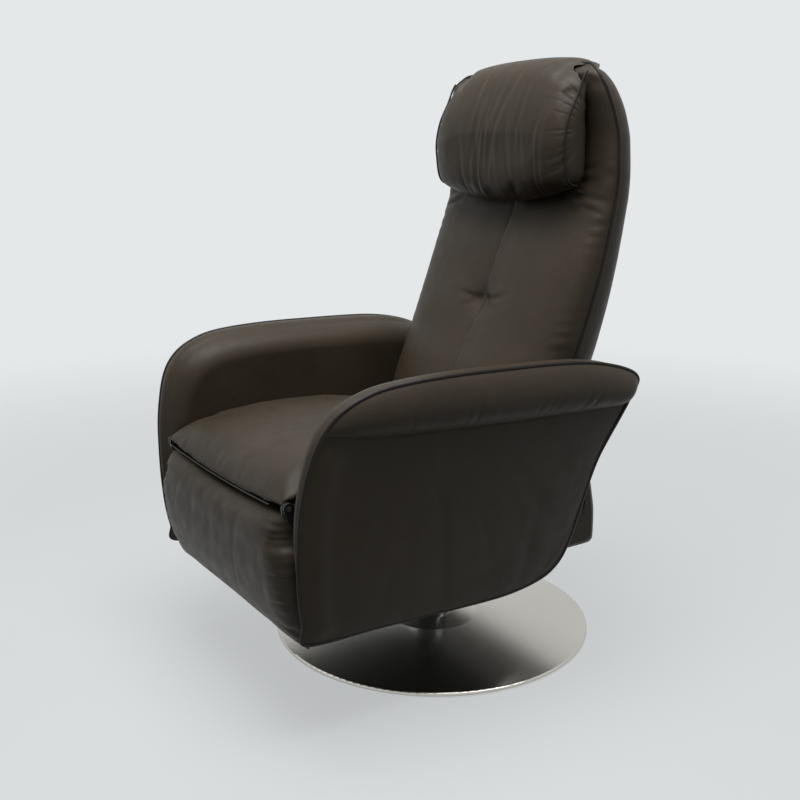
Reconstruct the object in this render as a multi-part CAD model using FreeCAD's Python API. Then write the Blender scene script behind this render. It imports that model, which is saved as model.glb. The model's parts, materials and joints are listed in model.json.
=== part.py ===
"""Swivel relax recliner on a round steel plate base, in millimetres.

The origin is on the floor at the swivel axis. +Z is up, the sitter faces -Y and the sitter's
left arm is at +X. The chair is at rest: upright, with the footrest folded under the seat.
"""
import FreeCAD, Part
import os
from math import cos, pi, sin, sqrt, radians

Vector = FreeCAD.Vector

# Overall sizes
base_radius = 318.0
seat_half_width = 240.8
back_half_width = seat_half_width + 4.2
arm_front_y = -458.0
arm_top_z = 597.0

# Base
plate_gap = 3.0
plate_rim = 5.0
plate_rise = 20.0
cover_sheet = 2.0
column_radius = 32.0
column_wall = 4.0
column_top = 118.0
spindle_radius = 15.0
spindle_top = 166.0
flange_radius = 75.0
flange_thick = 8.0
base_bolts = 6
base_bolt_circle = 55.0
bolt_radius = 4.0

# Swivel head and seat frame
running_gap = 0.05
housing_wall = 9.0
washer_thick = 3.0
mount_plate = 8.0
mount_half = 130.0
chassis_x = 100.0
chassis_half = 15.0
chassis_high = 30.0
cross_half = 20.0
cross_high = 25.0
rail_thick = 4.0
rail_inner = seat_half_width - 4.3
seat_board_z = 345.0
board_half = seat_half_width - 11.8
corner_x = board_half - 2.0

# Moving axes, as (y, z)
footrest_axis = (-448.0, 400.0)
footrest_arm = (58.0, -108.0)
linkage_span = (203.0, -84.0)
back_axis = (115.0, 385.0)
spring_seat_pin = (-65.0, 290.0)
spring_back_pin = (180.0, 335.0)
head_axis = (209.0, 855.0)
lever_axis = (-190.0, 300.0)

# Small parts
pin_radius = 4.0
link_thick = 6.0
link_gap = 1.0
crank_x = 140.0
shaft_radius = 10.0
pivot_tube_radius = 11.0
open_pivot_gap = 0.5
soft_gap = 0.6

# Arms
arm_inner = seat_half_width + 2.2
arm_board_inner = seat_half_width + 12.2
arm_board_thick = 12.0
arm_outer_bottom = seat_half_width + 34.2
arm_board_top = 472.0


def side(x):
    """Places a (y, z) point on the plane at x."""
    return lambda y, z: Vector(x, y, z)


def front(y):
    """Places an (x, z) point on the plane at y."""
    return lambda x, z: Vector(x, y, z)


def plan(z):
    """Places an (x, y) point on the plane at z."""
    return lambda x, y: Vector(x, y, z)


def outline(points, place):
    """A closed wire through the points. One marked "via" makes its stretch an arc."""
    edges = []
    ring = points + [points[0]]
    start = place(ring[0][0], ring[0][1])
    via = None
    for point in ring[1:]:
        here = place(point[0], point[1])
        if len(point) == 3:
            via = here
            continue
        if via is None:
            edges.append(Part.makeLine(start, here))
        else:
            edges.append(Part.Arc(start, via, here).toShape())
        start = here
        via = None
    return Part.Wire(edges)


def slab(points, place, along):
    """The outline filled and pushed along a vector."""
    return Part.Face(outline(points, place)).extrude(along)


def side_slab(points, x0, x1):
    return slab(points, side(x0), Vector(x1 - x0, 0, 0))


def rod_x(y, z, radius, x0, x1):
    return Part.makeCylinder(radius, x1 - x0, Vector(x0, y, z), Vector(1, 0, 0))


def rod_z(x, y, radius, z0, z1):
    return Part.makeCylinder(radius, z1 - z0, Vector(x, y, z0), Vector(0, 0, 1))


def box(x0, x1, y0, y1, z0, z1):
    return Part.makeBox(x1 - x0, y1 - y0, z1 - z0, Vector(x0, y0, z0))


def mirrored(shape):
    return shape.mirror(Vector(0, 0, 0), Vector(1, 0, 0))


def both(shape):
    """The shape and its mirror image, as separate solids."""
    return Part.makeCompound([shape, mirrored(shape)])


def loft(wires, ruled=False):
    return Part.makeLoft(wires, True, ruled)


def plus(point, step):
    return (point[0] + step[0], point[1] + step[1])


def link_outline(p, q, radius):
    """A flat link round two (y, z) pins, with straight sides and round ends."""
    y = q[0] - p[0]
    z = q[1] - p[1]
    length = sqrt(y * y + z * z)
    u = (y / length * radius, z / length * radius)
    n = (-u[1], u[0])
    return [
        (p[0] + n[0], p[1] + n[1]),
        (p[0] - u[0], p[1] - u[1], "via"),
        (p[0] - n[0], p[1] - n[1]),
        (q[0] - n[0], q[1] - n[1]),
        (q[0] + u[0], q[1] + u[1], "via"),
        (q[0] + n[0], q[1] + n[1]),
    ]


def link(p, q, radius, x0, thick, hole_p, hole_q):
    plate = side_slab(link_outline(p, q, radius), x0, x0 + thick)
    if hole_p:
        plate = plate.cut(rod_x(p[0], p[1], hole_p, x0 - 1, x0 + thick + 1))
    if hole_q:
        plate = plate.cut(rod_x(q[0], q[1], hole_q, x0 - 1, x0 + thick + 1))
    return plate


footrest_pin = plus(footrest_axis, footrest_arm)
crank_axis = plus(footrest_axis, linkage_span)
crank_pin = plus(crank_axis, footrest_arm)

plate_top = plate_gap + plate_rim
cover_top = plate_top + plate_rise
flange_base = plate_gap + plate_rim
housing_base = column_top + washer_thick
housing_radius = spindle_radius + running_gap + housing_wall
housing_top = spindle_top + 8.0
mount_top = housing_top + mount_plate
chassis_top = mount_top + chassis_high
cross_top = chassis_top + cross_high
rail_outer = rail_inner + rail_thick


def floor_pad():
    """Thin felt disc that the chair rests on."""
    return rod_z(0, 0, base_radius - 12.0, 0, plate_gap)


def base_plate():
    """Steel ballast plate that the column is bolted to."""
    plate = rod_z(0, 0, base_radius - 4.0, plate_gap, plate_top)
    for k in range(base_bolts):
        a = 2 * pi * k / base_bolts
        x = base_bolt_circle * cos(a)
        y = base_bolt_circle * sin(a)
        plate = plate.cut(rod_z(x, y, bolt_radius, plate_gap - 1, plate_top + 1))
    return plate


def base_cover():
    """Spun stainless cover: a low cone with a rolled rim and a hole for the column."""
    inner = column_radius + 1.0
    rim = base_radius
    sheet = cover_sheet
    top = [
        (inner, cover_top),
        (inner + 60.0, cover_top - 7.0),
        (rim - 60.0, plate_top + 5.0, "via"),
        (rim - 3.0, plate_top + 1.0),
        (rim - 0.8, plate_top - 0.2, "via"),
        (rim, plate_top - 2.2),
        (rim, plate_gap + 0.6),
        (rim - sheet, plate_gap + 0.6),
        (rim - sheet, plate_top - 2.2),
        (rim - 4.0, plate_top),
        (rim - 60.0, plate_top + 5.0 - sheet, "via"),
        (inner + 60.0, cover_top - 7.0 - sheet),
        (inner, cover_top - sheet),
    ]
    face = Part.Face(outline(top, front(0)))
    return face.revolve(Vector(0, 0, 0), Vector(0, 0, 1), 360)


def column():
    """Chrome tube with its welded foot flange and top cap."""
    foot = rod_z(0, 0, flange_radius, flange_base, flange_base + flange_thick)
    tube = rod_z(0, 0, column_radius, flange_base, column_top)
    hollow = rod_z(0, 0, column_radius - column_wall, flange_base - 1, column_top - 12.0)
    post = foot.fuse(tube).cut(hollow)
    for k in range(base_bolts):
        a = 2 * pi * k / base_bolts
        x = base_bolt_circle * cos(a)
        y = base_bolt_circle * sin(a)
        post = post.cut(rod_z(x, y, bolt_radius, flange_base - 1, flange_base + flange_thick + 1))
    return post.cut(rod_z(0, 0, spindle_radius, column_top - 13.0, column_top + 1))


def column_bolt_group():
    bolts = []
    head_high = 5.0
    for k in range(base_bolts):
        a = 2 * pi * k / base_bolts
        x = base_bolt_circle * cos(a)
        y = base_bolt_circle * sin(a)
        top = flange_base + flange_thick
        shank = rod_z(x, y, bolt_radius, plate_gap + 0.5, top)
        head = Part.makeCylinder(bolt_radius * 1.7, head_high, Vector(x, y, top))
        bolts.append(shank.fuse(head))
    return Part.makeCompound(bolts)


def column_collar():
    """Chrome ring that closes the cover round the column."""
    high = 6.0
    ring = rod_z(0, 0, column_radius + 9.0, cover_top, cover_top + high)
    return ring.cut(rod_z(0, 0, column_radius, cover_top - 1, cover_top + high + 1))


def spindle():
    pin = rod_z(0, 0, spindle_radius, column_top - 12.0, spindle_top)
    return pin.makeChamfer(1.5, [pin.Edges[0]])


def swivel_washer():
    ring = rod_z(0, 0, column_radius - 3.0, column_top, housing_base)
    return ring.cut(rod_z(0, 0, spindle_radius + 0.5, column_top - 1, housing_base + 1))


def swivel_housing():
    """Turned cup that sits over the spindle."""
    cup = rod_z(0, 0, housing_radius, housing_base, housing_top)
    foot = rod_z(0, 0, housing_radius + 5.0, housing_base, housing_base + 8.0)
    bore = rod_z(0, 0, spindle_radius + running_gap, housing_base - 1, spindle_top + 0.6)
    return cup.fuse(foot).cut(bore)


def mounting_plate():
    return box(-mount_half, mount_half, -mount_half, mount_half, housing_top, mount_top)


def square_tube_y(x, y0, y1, z0):
    wall = 2.0
    high = chassis_high
    tube = box(x - chassis_half, x + chassis_half, y0, y1, z0, z0 + high)
    inner = box(x - chassis_half + wall, x + chassis_half - wall, y0 - 1, y1 + 1, z0 + wall, z0 + high - wall)
    return tube.cut(inner)


def square_tube_x(y, z0):
    wall = 2.0
    tube = box(-rail_inner, rail_inner, y - cross_half, y + cross_half, z0, z0 + cross_high)
    inner = box(-rail_inner - 1, rail_inner + 1, y - cross_half + wall, y + cross_half - wall,
                z0 + wall, z0 + cross_high - wall)
    return tube.cut(inner)


rear_cross_y = 75.0
front_tube = (-332.0, 318.0)
front_tube_half = 12.0


def chassis_rails():
    return both(square_tube_y(chassis_x, spring_seat_pin[0] - 60.0, rear_cross_y + 35.0, mount_top))


def lower_cross_tubes():
    return Part.makeCompound([square_tube_x(spring_seat_pin[0], chassis_top),
                              square_tube_x(rear_cross_y, chassis_top)])


def front_cross_tube():
    y, z = front_tube
    h = front_tube_half
    tube = box(-rail_inner, rail_inner, y - h, y + h, z - h, z + h)
    return tube.cut(box(-rail_inner - 1, rail_inner + 1, y - h + 2, y + h - 2, z - h + 2, z + h - 2))


def side_rail():
    """Laser-cut steel side plate with its nose, pivot holes and one long window."""
    fy, fz = footrest_axis
    by, bz = back_axis
    low = chassis_top + 3.0
    top = seat_board_z - 8.0
    nose = 9.5
    knee = 28.0
    plate = side_slab([
        (fy - nose, fz),
        (fy, fz + nose, "via"),
        (fy + nose, fz),
        (fy + 22.0, fz - 34.0, "via"),
        (fy + 50.0, top + 5.0),
        (fy + 100.0, top),
        (by - 60.0, top),
        (by - 34.0, top + 12.0, "via"),
        (by - knee, bz - 10.0),
        (by, bz + knee, "via"),
        (by + knee, bz - 10.0),
        (by + knee, low + 40.0),
        (by - 20.0, low),
        (spring_seat_pin[0] - 60.0, low),
        (crank_axis[0] - 60.0, crank_axis[1] - 26.0),
        (fy + 74.0, front_tube[1] - 22.0),
        (fy + 36.0, fz - 62.0),
        (fy + 6.0, fz - 34.0, "via"),
    ], rail_inner, rail_outer)
    plate = plate.cut(rod_x(fy, fz, pin_radius + running_gap, rail_inner - 1, rail_outer + 1))
    plate = plate.cut(rod_x(by, bz, pivot_tube_radius + running_gap, rail_inner - 1, rail_outer + 1))
    cy, cz = crank_axis
    plate = plate.cut(rod_x(cy, cz, shaft_radius + running_gap, rail_inner - 1, rail_outer + 1))
    window = side_slab([
        (spring_seat_pin[0] - 60.0, chassis_top + 55.0),
        (spring_seat_pin[0] - 82.0, chassis_top + 75.0, "via"),
        (spring_seat_pin[0] - 60.0, chassis_top + 95.0),
        (by - 60.0, chassis_top + 95.0),
        (by - 38.0, chassis_top + 75.0, "via"),
        (by - 60.0, chassis_top + 55.0),
    ], rail_inner - 1, rail_outer + 1)
    return plate.cut(window)


def seat_webbing():
    """Elastic straps stretched between the side rails under the cushion."""
    straps = []
    wide = 50.0
    thick = 2.0
    for k in range(5):
        y = -372.0 + k * 84.0
        z = seat_board_z - soft_gap - thick
        straps.append(box(-rail_outer, rail_outer, y, y + wide, z, z + thick))
    return Part.makeCompound(straps)


def webbing_rail():
    """Wood ledge on each side rail that the straps are stapled to."""
    top = seat_board_z - soft_gap - 2.0
    ledge = box(rail_inner - 14.0, rail_inner, -376.0, 22.0, top - 12.0, top)
    return ledge


def seat_cushion_section(y, side_z, crown_z):
    half = seat_half_width - 3.0
    bulge = seat_half_width - 0.4
    low = seat_board_z
    middle = (low + side_z) / 2
    return outline([
        (-half, low),
        (half, low),
        (bulge, middle, "via"),
        (half - 3.0, side_z),
        (0, crown_z, "via"),
        (3.0 - half, side_z),
        (-bulge, middle, "via"),
    ], front(y))


def seat_cushion():
    """Crowned seat cushion with a rounded front edge that drops in the middle to the seam."""
    rear = -14.0
    stations = [
        (-461.0, 405.0, 396.0),
        (-456.0, 414.0, 412.0),
        (-440.0, 425.0, 430.0),
        (-405.0, 439.0, 448.0),
        (-350.0, 449.0, 462.0),
        (-270.0, 454.0, 469.0),
        (-170.0, 449.0, 470.0),
        (-80.0, 436.0, 457.0),
        (rear, 428.0, 447.0),
    ]
    body = loft([seat_cushion_section(*s) for s in stations])
    step_y = footrest_axis[0] + 52.0
    lip = [
        (-400.0, 300.0),
        (400.0, 300.0),
        (400.0, 422.5),
        (0, 385.0, "via"),
        (-400.0, 422.5),
    ]
    body = body.cut(slab(lip, front(step_y), Vector(0, -120.0, 0)))
    notch = box(corner_x, seat_half_width + 20.0, -480.0, step_y, 380.0, footrest_axis[1] + 12.0)
    return body.cut(notch).cut(mirrored(notch))


footrest_half = seat_half_width + 20.2
board_front = footrest_axis[0] + 27.0
board_thick = 12.0


def footrest_section(share):
    """Side view of the leg pad at a share of its half width, from -1 to 1."""
    x = share * footrest_half
    top_z = 378.0 + 12.0 * abs(share) ** 1.6
    inset = 20.0 * abs(share) ** 7
    return outline([
        (-446.0 + inset, top_z),
        (-467.0 + inset, top_z - 24.0, "via"),
        (-475.0 + inset, 315.0),
        (-466.0 + inset, 235.0, "via"),
        (-436.0 + inset * 0.5, 170.0),
        (-428.0 + inset * 0.3, 158.0, "via"),
        (board_front + 8.0, 160.0),
        (board_front, top_z - 8.0),
    ], side(x))


def footrest_pad():
    """Front leg pad: bulges forward, draws in at its ends and dips along its top edge."""
    steps = 6
    shares = [k / steps for k in range(-steps, steps + 1)]
    pad = loft([footrest_section(share) for share in shares])
    corner = box(corner_x, footrest_half + 20.0, -500.0, -380.0, 336.0, 420.0)
    return pad.cut(corner).cut(mirrored(corner))


board_top_z = 368.0
board_low_z = 164.0


def board_back(z):
    """Where the rear face of the footrest board is at a height."""
    lean = 8.0 * (board_top_z - z) / (board_top_z - board_low_z)
    return board_front + soft_gap + board_thick + lean


def footrest_board():
    """Plywood board behind the pad."""
    return side_slab([
        (board_back(board_top_z) - board_thick, board_top_z),
        (board_back(board_top_z), board_top_z),
        (board_back(board_low_z), board_low_z),
        (board_back(board_low_z) - board_thick, board_low_z),
    ], -board_half, board_half)


def footrest_hinge_arm():
    """Goose-neck steel arm at one end of the board."""
    fy, fz = footrest_axis
    x0 = board_half
    thick = 4.5
    back = board_back(board_top_z)
    arm = side_slab([
        (fy - 9.0, fz),
        (fy, fz + 9.0, "via"),
        (fy + 9.0, fz),
        (back + 3.0, 362.0),
        (back + 8.0, 240.0),
        (back - 6.5, 240.0),
        (back - 10.0, 340.0),
        (fy - 8.0, fz - 12.0),
    ], x0, x0 + thick)
    return arm.cut(rod_x(fy, fz, pin_radius, x0 - 1, x0 + thick + 1))


def footrest_hinge_pin():
    fy, fz = footrest_axis
    return rod_x(fy, fz, pin_radius, board_half, rail_outer + 1.5)


def footrest_bracket():
    """Clevis on the back of the board for one push rod."""
    y, z = footrest_pin
    ears = []
    thick = 4.0
    inner = crank_x + link_thick + link_gap
    for x0 in (inner - link_gap - thick, inner + link_thick + link_gap):
        ear = side_slab([
            (board_back(z - 22.0), z - 22.0),
            (y, z - 9.0),
            (y + 9.0, z, "via"),
            (y, z + 9.0),
            (board_back(z + 22.0), z + 22.0),
        ], x0, x0 + thick)
        ears.append(ear.cut(rod_x(y, z, pin_radius, x0 - 1, x0 + thick + 1)))
    return ears


def footrest_bracket_pin():
    y, z = footrest_pin
    x0 = crank_x + link_thick - 4.0
    return rod_x(y, z, pin_radius, x0 - 2.0, x0 + 2 * link_thick + 6.0)


def crank():
    """Cross shaft with an arm near each end that swings with the footrest."""
    y, z = crank_axis
    shaft = rod_x(y, z, shaft_radius, -rail_outer - 2.0, rail_outer + 2.0)
    arm = link(crank_axis, crank_pin, 10.5, crank_x, link_thick, None, pin_radius)
    arms = [arm, mirrored(arm)]
    return shaft.fuse(arms)


def crank_pins():
    y, z = crank_pin
    return both(rod_x(y, z, pin_radius, crank_x, crank_x + 2 * link_thick + 2 * link_gap))


def push_rods():
    """Flat links from the crank to the footrest; the front eye is the linkage's open pivot."""
    x0 = crank_x + link_thick + link_gap
    hole = pin_radius + running_gap
    rod = link(crank_pin, footrest_pin, 9.0, x0, link_thick, hole, pin_radius + open_pivot_gap)
    return both(rod)


# The back at heights z: front, piping and rear as y, then the half width
back_stations = [
    (350.0, 10.0, 84.0, 228.0, 0.88),
    (385.0, 4.0, 92.0, 240.0, 0.905),
    (450.0, 6.0, 112.0, 245.0, 0.935),
    (529.0, 38.0, 135.0, 250.0, 0.957),
    (600.0, 77.0, 158.0, 270.0, 0.98),
    (680.0, 115.0, 184.0, 288.0, 0.995),
    (760.0, 149.0, 207.0, 301.0, 1.0),
    (830.0, 183.0, 222.0, 313.0, 1.0),
    (852.0, 194.0, 228.0, 316.0, 1.0),
    (900.0, 204.0, 232.0, 318.0, 0.997),
    (960.0, 207.0, 232.0, 316.0, 0.98),
    (1010.0, 199.0, 223.0, 306.0, 0.955),
    (1050.0, 190.0, 212.0, 289.0, 0.915),
    (1078.0, 186.0, 205.0, 271.0, 0.845),
    (1092.0, 196.0, 211.0, 254.0, 0.75),
]
shell_wall = 12.0
split_gap = 0.5


def back_at(z):
    """Front, piping and rear y and the half width of the back at a height."""
    rows = back_stations
    if z <= rows[0][0]:
        low, high = rows[0], rows[1]
    elif z >= rows[-1][0]:
        low, high = rows[-2], rows[-1]
    else:
        k = 0
        while rows[k + 1][0] < z:
            k += 1
        low, high = rows[k], rows[k + 1]
    t = (z - low[0]) / (high[0] - low[0])
    mixed = [a + (b - a) * t for a, b in zip(low, high)]
    return mixed[1], mixed[2], mixed[3], mixed[4] * back_half_width


def shell_section(z, inset):
    piping, rear, half = back_at(z)[1:]
    w = half - inset
    r = rear - inset
    corner = min(70.0, w * 0.4)
    depth = r - piping
    mouth = piping - inset
    return outline([
        (w, mouth),
        (w, piping + 0.01),
        (w - corner * 0.18, piping + depth * 0.5, "via"),
        (w - corner, piping + depth * 0.84),
        (0, r, "via"),
        (corner - w, piping + depth * 0.84),
        (corner * 0.18 - w, piping + depth * 0.5, "via"),
        (-w, piping + 0.01),
        (-w, mouth),
    ], plan(z))


def cushion_section(z, seam=2.5):
    front_y, piping, rear, half = back_at(z)
    depth = piping - front_y
    bolster = min(46.0, half * 0.25)
    back = piping - soft_gap
    return outline([
        (half, back),
        (half - bolster * 0.12, front_y + depth * 0.36, "via"),
        (half - bolster, front_y + 2.0),
        ((half - bolster) * 0.5, front_y - 1.5, "via"),
        (0, front_y + seam),
        ((bolster - half) * 0.5, front_y - 1.5, "via"),
        (bolster - half, front_y + 2.0),
        (bolster * 0.12 - half, front_y + depth * 0.36, "via"),
        (-half, back),
    ], plan(z))


def heights(low, high):
    return [low] + [row[0] for row in back_stations if low + 5 < row[0] < high - 5] + [high]


def back_shell():
    """Rear cover of the back: a padded shell, open to the front and underneath."""
    low = back_stations[0][0]
    top = head_axis[1] - split_gap
    outer = loft([shell_section(z, 0.0) for z in heights(low, top)])
    inner = loft([shell_section(z, shell_wall) for z in heights(low - 8.0, top + 8.0)])
    shell = outer.cut(inner)
    return shell.cut(rod_x(back_axis[0], back_axis[1], pivot_tube_radius + 1.0, -300, 300))


def hinge_slot():
    """Room in the soft pieces for one head hinge."""
    y, z = head_axis
    return side_slab([
        (y - 10.0, z - 24.0),
        (y - 10.0, z + 13.0),
        (y + 4.0, z + 32.0),
        (y + 8.0, z + 44.0),
        (y + 50.0, z + 44.0),
        (y + 50.0, z - 24.0),
    ], board_x - 11.0, board_x + 4.0)


def back_cushion():
    """Front cushion of the back, with its centre seam, one sewn tuft and a bevelled top edge."""
    low = 353.0
    top = head_axis[1] - split_gap
    body = loft([cushion_section(z) for z in heights(low, top)])
    y, z = head_axis
    bevel = side_slab([(y, top), (y - 60.0, top + 1.0), (y - 60.0, top - 32.0)], -300, 300)
    body = body.cut(bevel)
    body = body.cut(hinge_slot()).cut(mirrored(hinge_slot()))
    tuft_z = 657.0
    tuft_radius = 60.0
    tuft_deep = 9.0
    tuft_y = back_at(tuft_z)[0] - tuft_radius + tuft_deep
    return body.cut(Part.makeSphere(tuft_radius, Vector(0, tuft_y, tuft_z)))


def strip(low, high, near, far, x0, x1):
    """A board that follows the piping line between two heights, from near to far behind it."""
    levels = heights(low, high)
    front_edge = [(back_at(z)[1] + near, z) for z in levels]
    rear_edge = [(back_at(z)[1] + far, z) for z in reversed(levels)]
    return side_slab(front_edge + rear_edge, x0, x1)


board_x = back_half_width - 65.0
board_wide = 18.0
strap_thick = 2.0


def back_side_board():
    """Plywood side of the back frame, with the hole for the pivot tube."""
    near = soft_gap + strap_thick
    board = strip(358.0, 846.0, near, near + 40.0, board_x, board_x + board_wide)
    y, z = back_axis
    return board.cut(rod_x(y, z, pivot_tube_radius, board_x - 1, board_x + board_wide + 1))


def back_cross_rails():
    near = soft_gap + strap_thick
    rails = []
    for low in (470.0, 610.0, 742.0):
        rails.append(strip(low, low + 24.0, near + 8.0, near + 28.0, -board_x, board_x))
    return Part.makeCompound(rails)


def back_webbing():
    straps = []
    for low in (505.0, 560.0, 650.0, 705.0, 775.0):
        straps.append(strip(low, low + 38.0, soft_gap, soft_gap + strap_thick - 0.2,
                            -board_x - board_wide, board_x + board_wide))
    return Part.makeCompound(straps)


def back_pivot_tube():
    """Steel tube that the back turns on, with the two lugs for the gas spring."""
    y, z = back_axis
    reach = rail_outer + 0.8
    tube = rod_x(y, z, pivot_tube_radius, -reach, reach)
    tube = tube.cut(rod_x(y, z, pivot_tube_radius - 2.5, -reach - 1, reach + 1))
    lug = link(back_axis, spring_back_pin, 15.0, 9.0, 5.0, pivot_tube_radius - 0.1, pin_radius)
    return tube.fuse([lug, mirrored(lug)])


def spring_back_bolt():
    y, z = spring_back_pin
    return rod_x(y, z, pin_radius, -17.0, 17.0)


def spring_seat_bracket():
    """Clevis welded on the front cross tube for the gas spring."""
    y, z = spring_seat_pin
    ears = []
    for x0 in (-15.0, 10.0):
        ear = side_slab([
            (y - 16.0, cross_top),
            (y - 11.0, z),
            (y, z + 11.0, "via"),
            (y + 11.0, z),
            (y + 16.0, cross_top),
        ], x0, x0 + 5.0)
        ears.append(ear.cut(rod_x(y, z, pin_radius, x0 - 1, x0 + 6.0)))
    foot = box(-15.0, 15.0, y - 16.0, y + 16.0, cross_top, cross_top + 4.0)
    return foot.fuse(ears)


def spring_seat_bolt():
    y, z = spring_seat_pin
    return rod_x(y, z, pin_radius, -17.0, 17.0)


spring_length = sqrt((spring_back_pin[0] - spring_seat_pin[0]) ** 2
                     + (spring_back_pin[1] - spring_seat_pin[1]) ** 2)
spring_along = Vector(0, (spring_back_pin[0] - spring_seat_pin[0]) / spring_length,
                      (spring_back_pin[1] - spring_seat_pin[1]) / spring_length)
cylinder_radius = 13.0
rod_radius = 5.0
cylinder_length = 138.0


def on_spring(distance):
    y, z = spring_seat_pin
    return Vector(0, y, z) + spring_along * distance


def gas_cylinder():
    y, z = spring_seat_pin
    eye = rod_x(y, z, 10.0, -9.0, 9.0)
    neck = Part.makeCylinder(7.0, 16.0, on_spring(6.0), spring_along)
    tube = Part.makeCylinder(cylinder_radius, cylinder_length, on_spring(20.0), spring_along)
    body = eye.fuse([neck, tube])
    body = body.cut(rod_x(y, z, pin_radius + running_gap, -10.0, 10.0))
    deep = cylinder_length - 12.0
    bore = Part.makeCylinder(rod_radius + running_gap, deep + 1, on_spring(32.0), spring_along)
    return body.cut(bore)


def gas_rod():
    y, z = spring_back_pin
    eye = rod_x(y, z, 11.0, -8.0, 8.0)
    length = spring_length - 82.0
    rod = Part.makeCylinder(rod_radius, length, on_spring(78.0), spring_along)
    return eye.fuse(rod).cut(rod_x(y, z, pin_radius + 3.2, -9.0, 9.0))


def head_shell():
    low = head_axis[1] + split_gap
    top = back_stations[-1][0]
    outer = loft([shell_section(z, 0.0) for z in heights(low, top)])
    inner = loft([shell_section(z, shell_wall) for z in heights(low - 8.0, top - 16.0)])
    return outer.cut(inner)


def head_cushion():
    low = head_axis[1] + split_gap
    body = loft([cushion_section(z, 0.0) for z in heights(low, back_stations[-1][0])])
    return body.cut(hinge_slot()).cut(mirrored(hinge_slot()))


pillow_half = back_half_width - 42.0


def pillow_section(share):
    """The pillow in side view: bulging front, top roll over the head, then its back face."""
    a = abs(share)
    inset = 24.0 * a ** 6
    drop = 20.0 * a ** 3
    sag = 36.0 * a ** 2.4
    gap = 4.5
    top_z = 1116.0 - drop
    under_z = 1099.0 - 12.0 * a ** 8
    rear_y = 262.0 - 28.0 * a ** 4
    points = [
        (back_at(861.0)[0] - gap, 861.0 + sag * 0.5),
        (168.0 + inset * 0.3, 846.0 + sag),
        (141.0 + inset * 0.7, 868.0 + sag * 0.9, "via"),
        (129.0 + inset, 922.0 + sag * 0.3),
        (131.0 + inset, 990.0 - drop * 0.3, "via"),
        (158.0 + inset, 1058.0 - drop * 0.7),
        (186.0 + inset * 0.4, 1100.0 - drop, "via"),
        (222.0, top_z),
        (rear_y - 10.0, top_z - 4.0, "via"),
        (rear_y, under_z),
        (180.0, under_z),
        (back_at(1045.0)[0] - gap - 4.0, 1045.0 - drop * 0.5),
        (back_at(1000.0)[0] - gap, 1000.0 - drop * 0.3),
        (back_at(940.0)[0] - gap, 940.0),
    ]
    return outline(points, side(share * pillow_half))


def head_pillow():
    steps = 5
    shares = [k / steps for k in range(-steps, steps + 1)]
    return loft([pillow_section(share) for share in shares])


head_board_y = 233.5
head_board_half = board_x - 8.0


def head_board():
    """Plywood frame inside the head section."""
    y = head_board_y
    low = head_axis[1] + 20.0
    top = head_axis[1] + 185.0
    rim = 35.0
    board = box(-head_board_half, head_board_half, y, y + 12.0, low, top)
    return board.cut(box(-110.0, 110.0, y - 1, y + 13.0, low + rim, top - rim))


def head_hinge_lower():
    """Hinge leaf screwed to the side board of the back."""
    y, z = head_axis
    thick = 3.0
    x0 = board_x - thick
    leaf = side_slab([
        (y - 9.0, z),
        (y, z + 9.0, "via"),
        (y + 9.0, z),
        (y + 44.0, z - 20.0),
        (y + 40.0, z - 72.0),
        (y + 22.0, z - 72.0),
        (y + 18.0, z - 22.0),
    ], x0, board_x)
    return leaf.cut(rod_x(y, z, pin_radius, x0 - 1, board_x + 1))


def head_hinge_upper():
    """Toothed hinge leaf fixed to the end of the head board."""
    y, z = head_axis
    x0 = head_board_half
    thick = 4.4
    leaf = side_slab([
        (y - 9.0, z),
        (y, z - 9.0, "via"),
        (y + 9.0, z),
        (y + 22.0, z + 20.0),
        (head_board_y + 14.0, z + 30.0),
        (head_board_y + 14.0, z + 90.0),
        (head_board_y, z + 90.0),
        (head_board_y, z + 42.0),
        (y + 12.0, z + 30.0),
    ], x0, x0 + thick)
    return leaf.cut(rod_x(y, z, pin_radius + running_gap, x0 - 1, x0 + thick + 1))


def head_hinge_pin():
    y, z = head_axis
    return rod_x(y, z, pin_radius, head_board_half - 2.0, board_x + 1.5)


def arm_silhouette(inset=0.0):
    """The arm in side view, drawn in by the inset."""
    f = arm_front_y + inset
    t = arm_top_z - inset
    i = inset
    return [
        (-440.0 + i, 182.0 + i),
        (-455.0 + i, 250.0, "via"),
        (f, 323.0),
        (f + 4.0, 430.0, "via"),
        (f + 24.0, 510.0),
        (f + 60.0 - i * 0.3, t - 34.0 + i * 0.3, "via"),
        (f + 130.0, t - 6.0),
        (-150.0, t, "via"),
        (40.0, t - 5.0),
        (130.0 - i, t - 17.0, "via"),
        (190.0 - i, 561.0 - i),
        (203.0 - i, 548.0 - i, "via"),
        (199.0 - i, 528.0 - i),
        (171.0 - i, 468.0 - i, "via"),
        (143.0 - i, 405.0),
        (129.0 - i, 340.0, "via"),
        (112.0 - i, 262.0),
        (98.0 - i, 213.0, "via"),
        (50.0 - i, 180.0 + i),
        (-40.0, 166.0 + i, "via"),
        (-161.0, 171.0 + i),
    ]


# The arm at depths y: seam height, then how far out from the seat's side the seam, the bulge,
# the piping, the ridge and the inner face are
arm_stations = [
    (-462.0, 532.0, 43.2, 55.2, 49.2, 16.2, 3.7),
    (-448.0, 531.0, 52.2, 70.2, 62.2, 22.2, 4.2),
    (-420.0, 526.0, 60.2, 84.2, 71.2, 27.2, 4.7),
    (-350.0, 514.0, 66.2, 95.2, 77.2, 29.2, 5.2),
    (-250.0, 507.0, 72.2, 101.2, 81.2, 31.2, 5.7),
    (240.0, 500.0, 92.2, 119.2, 99.2, 41.2, 8.2),
]


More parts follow.
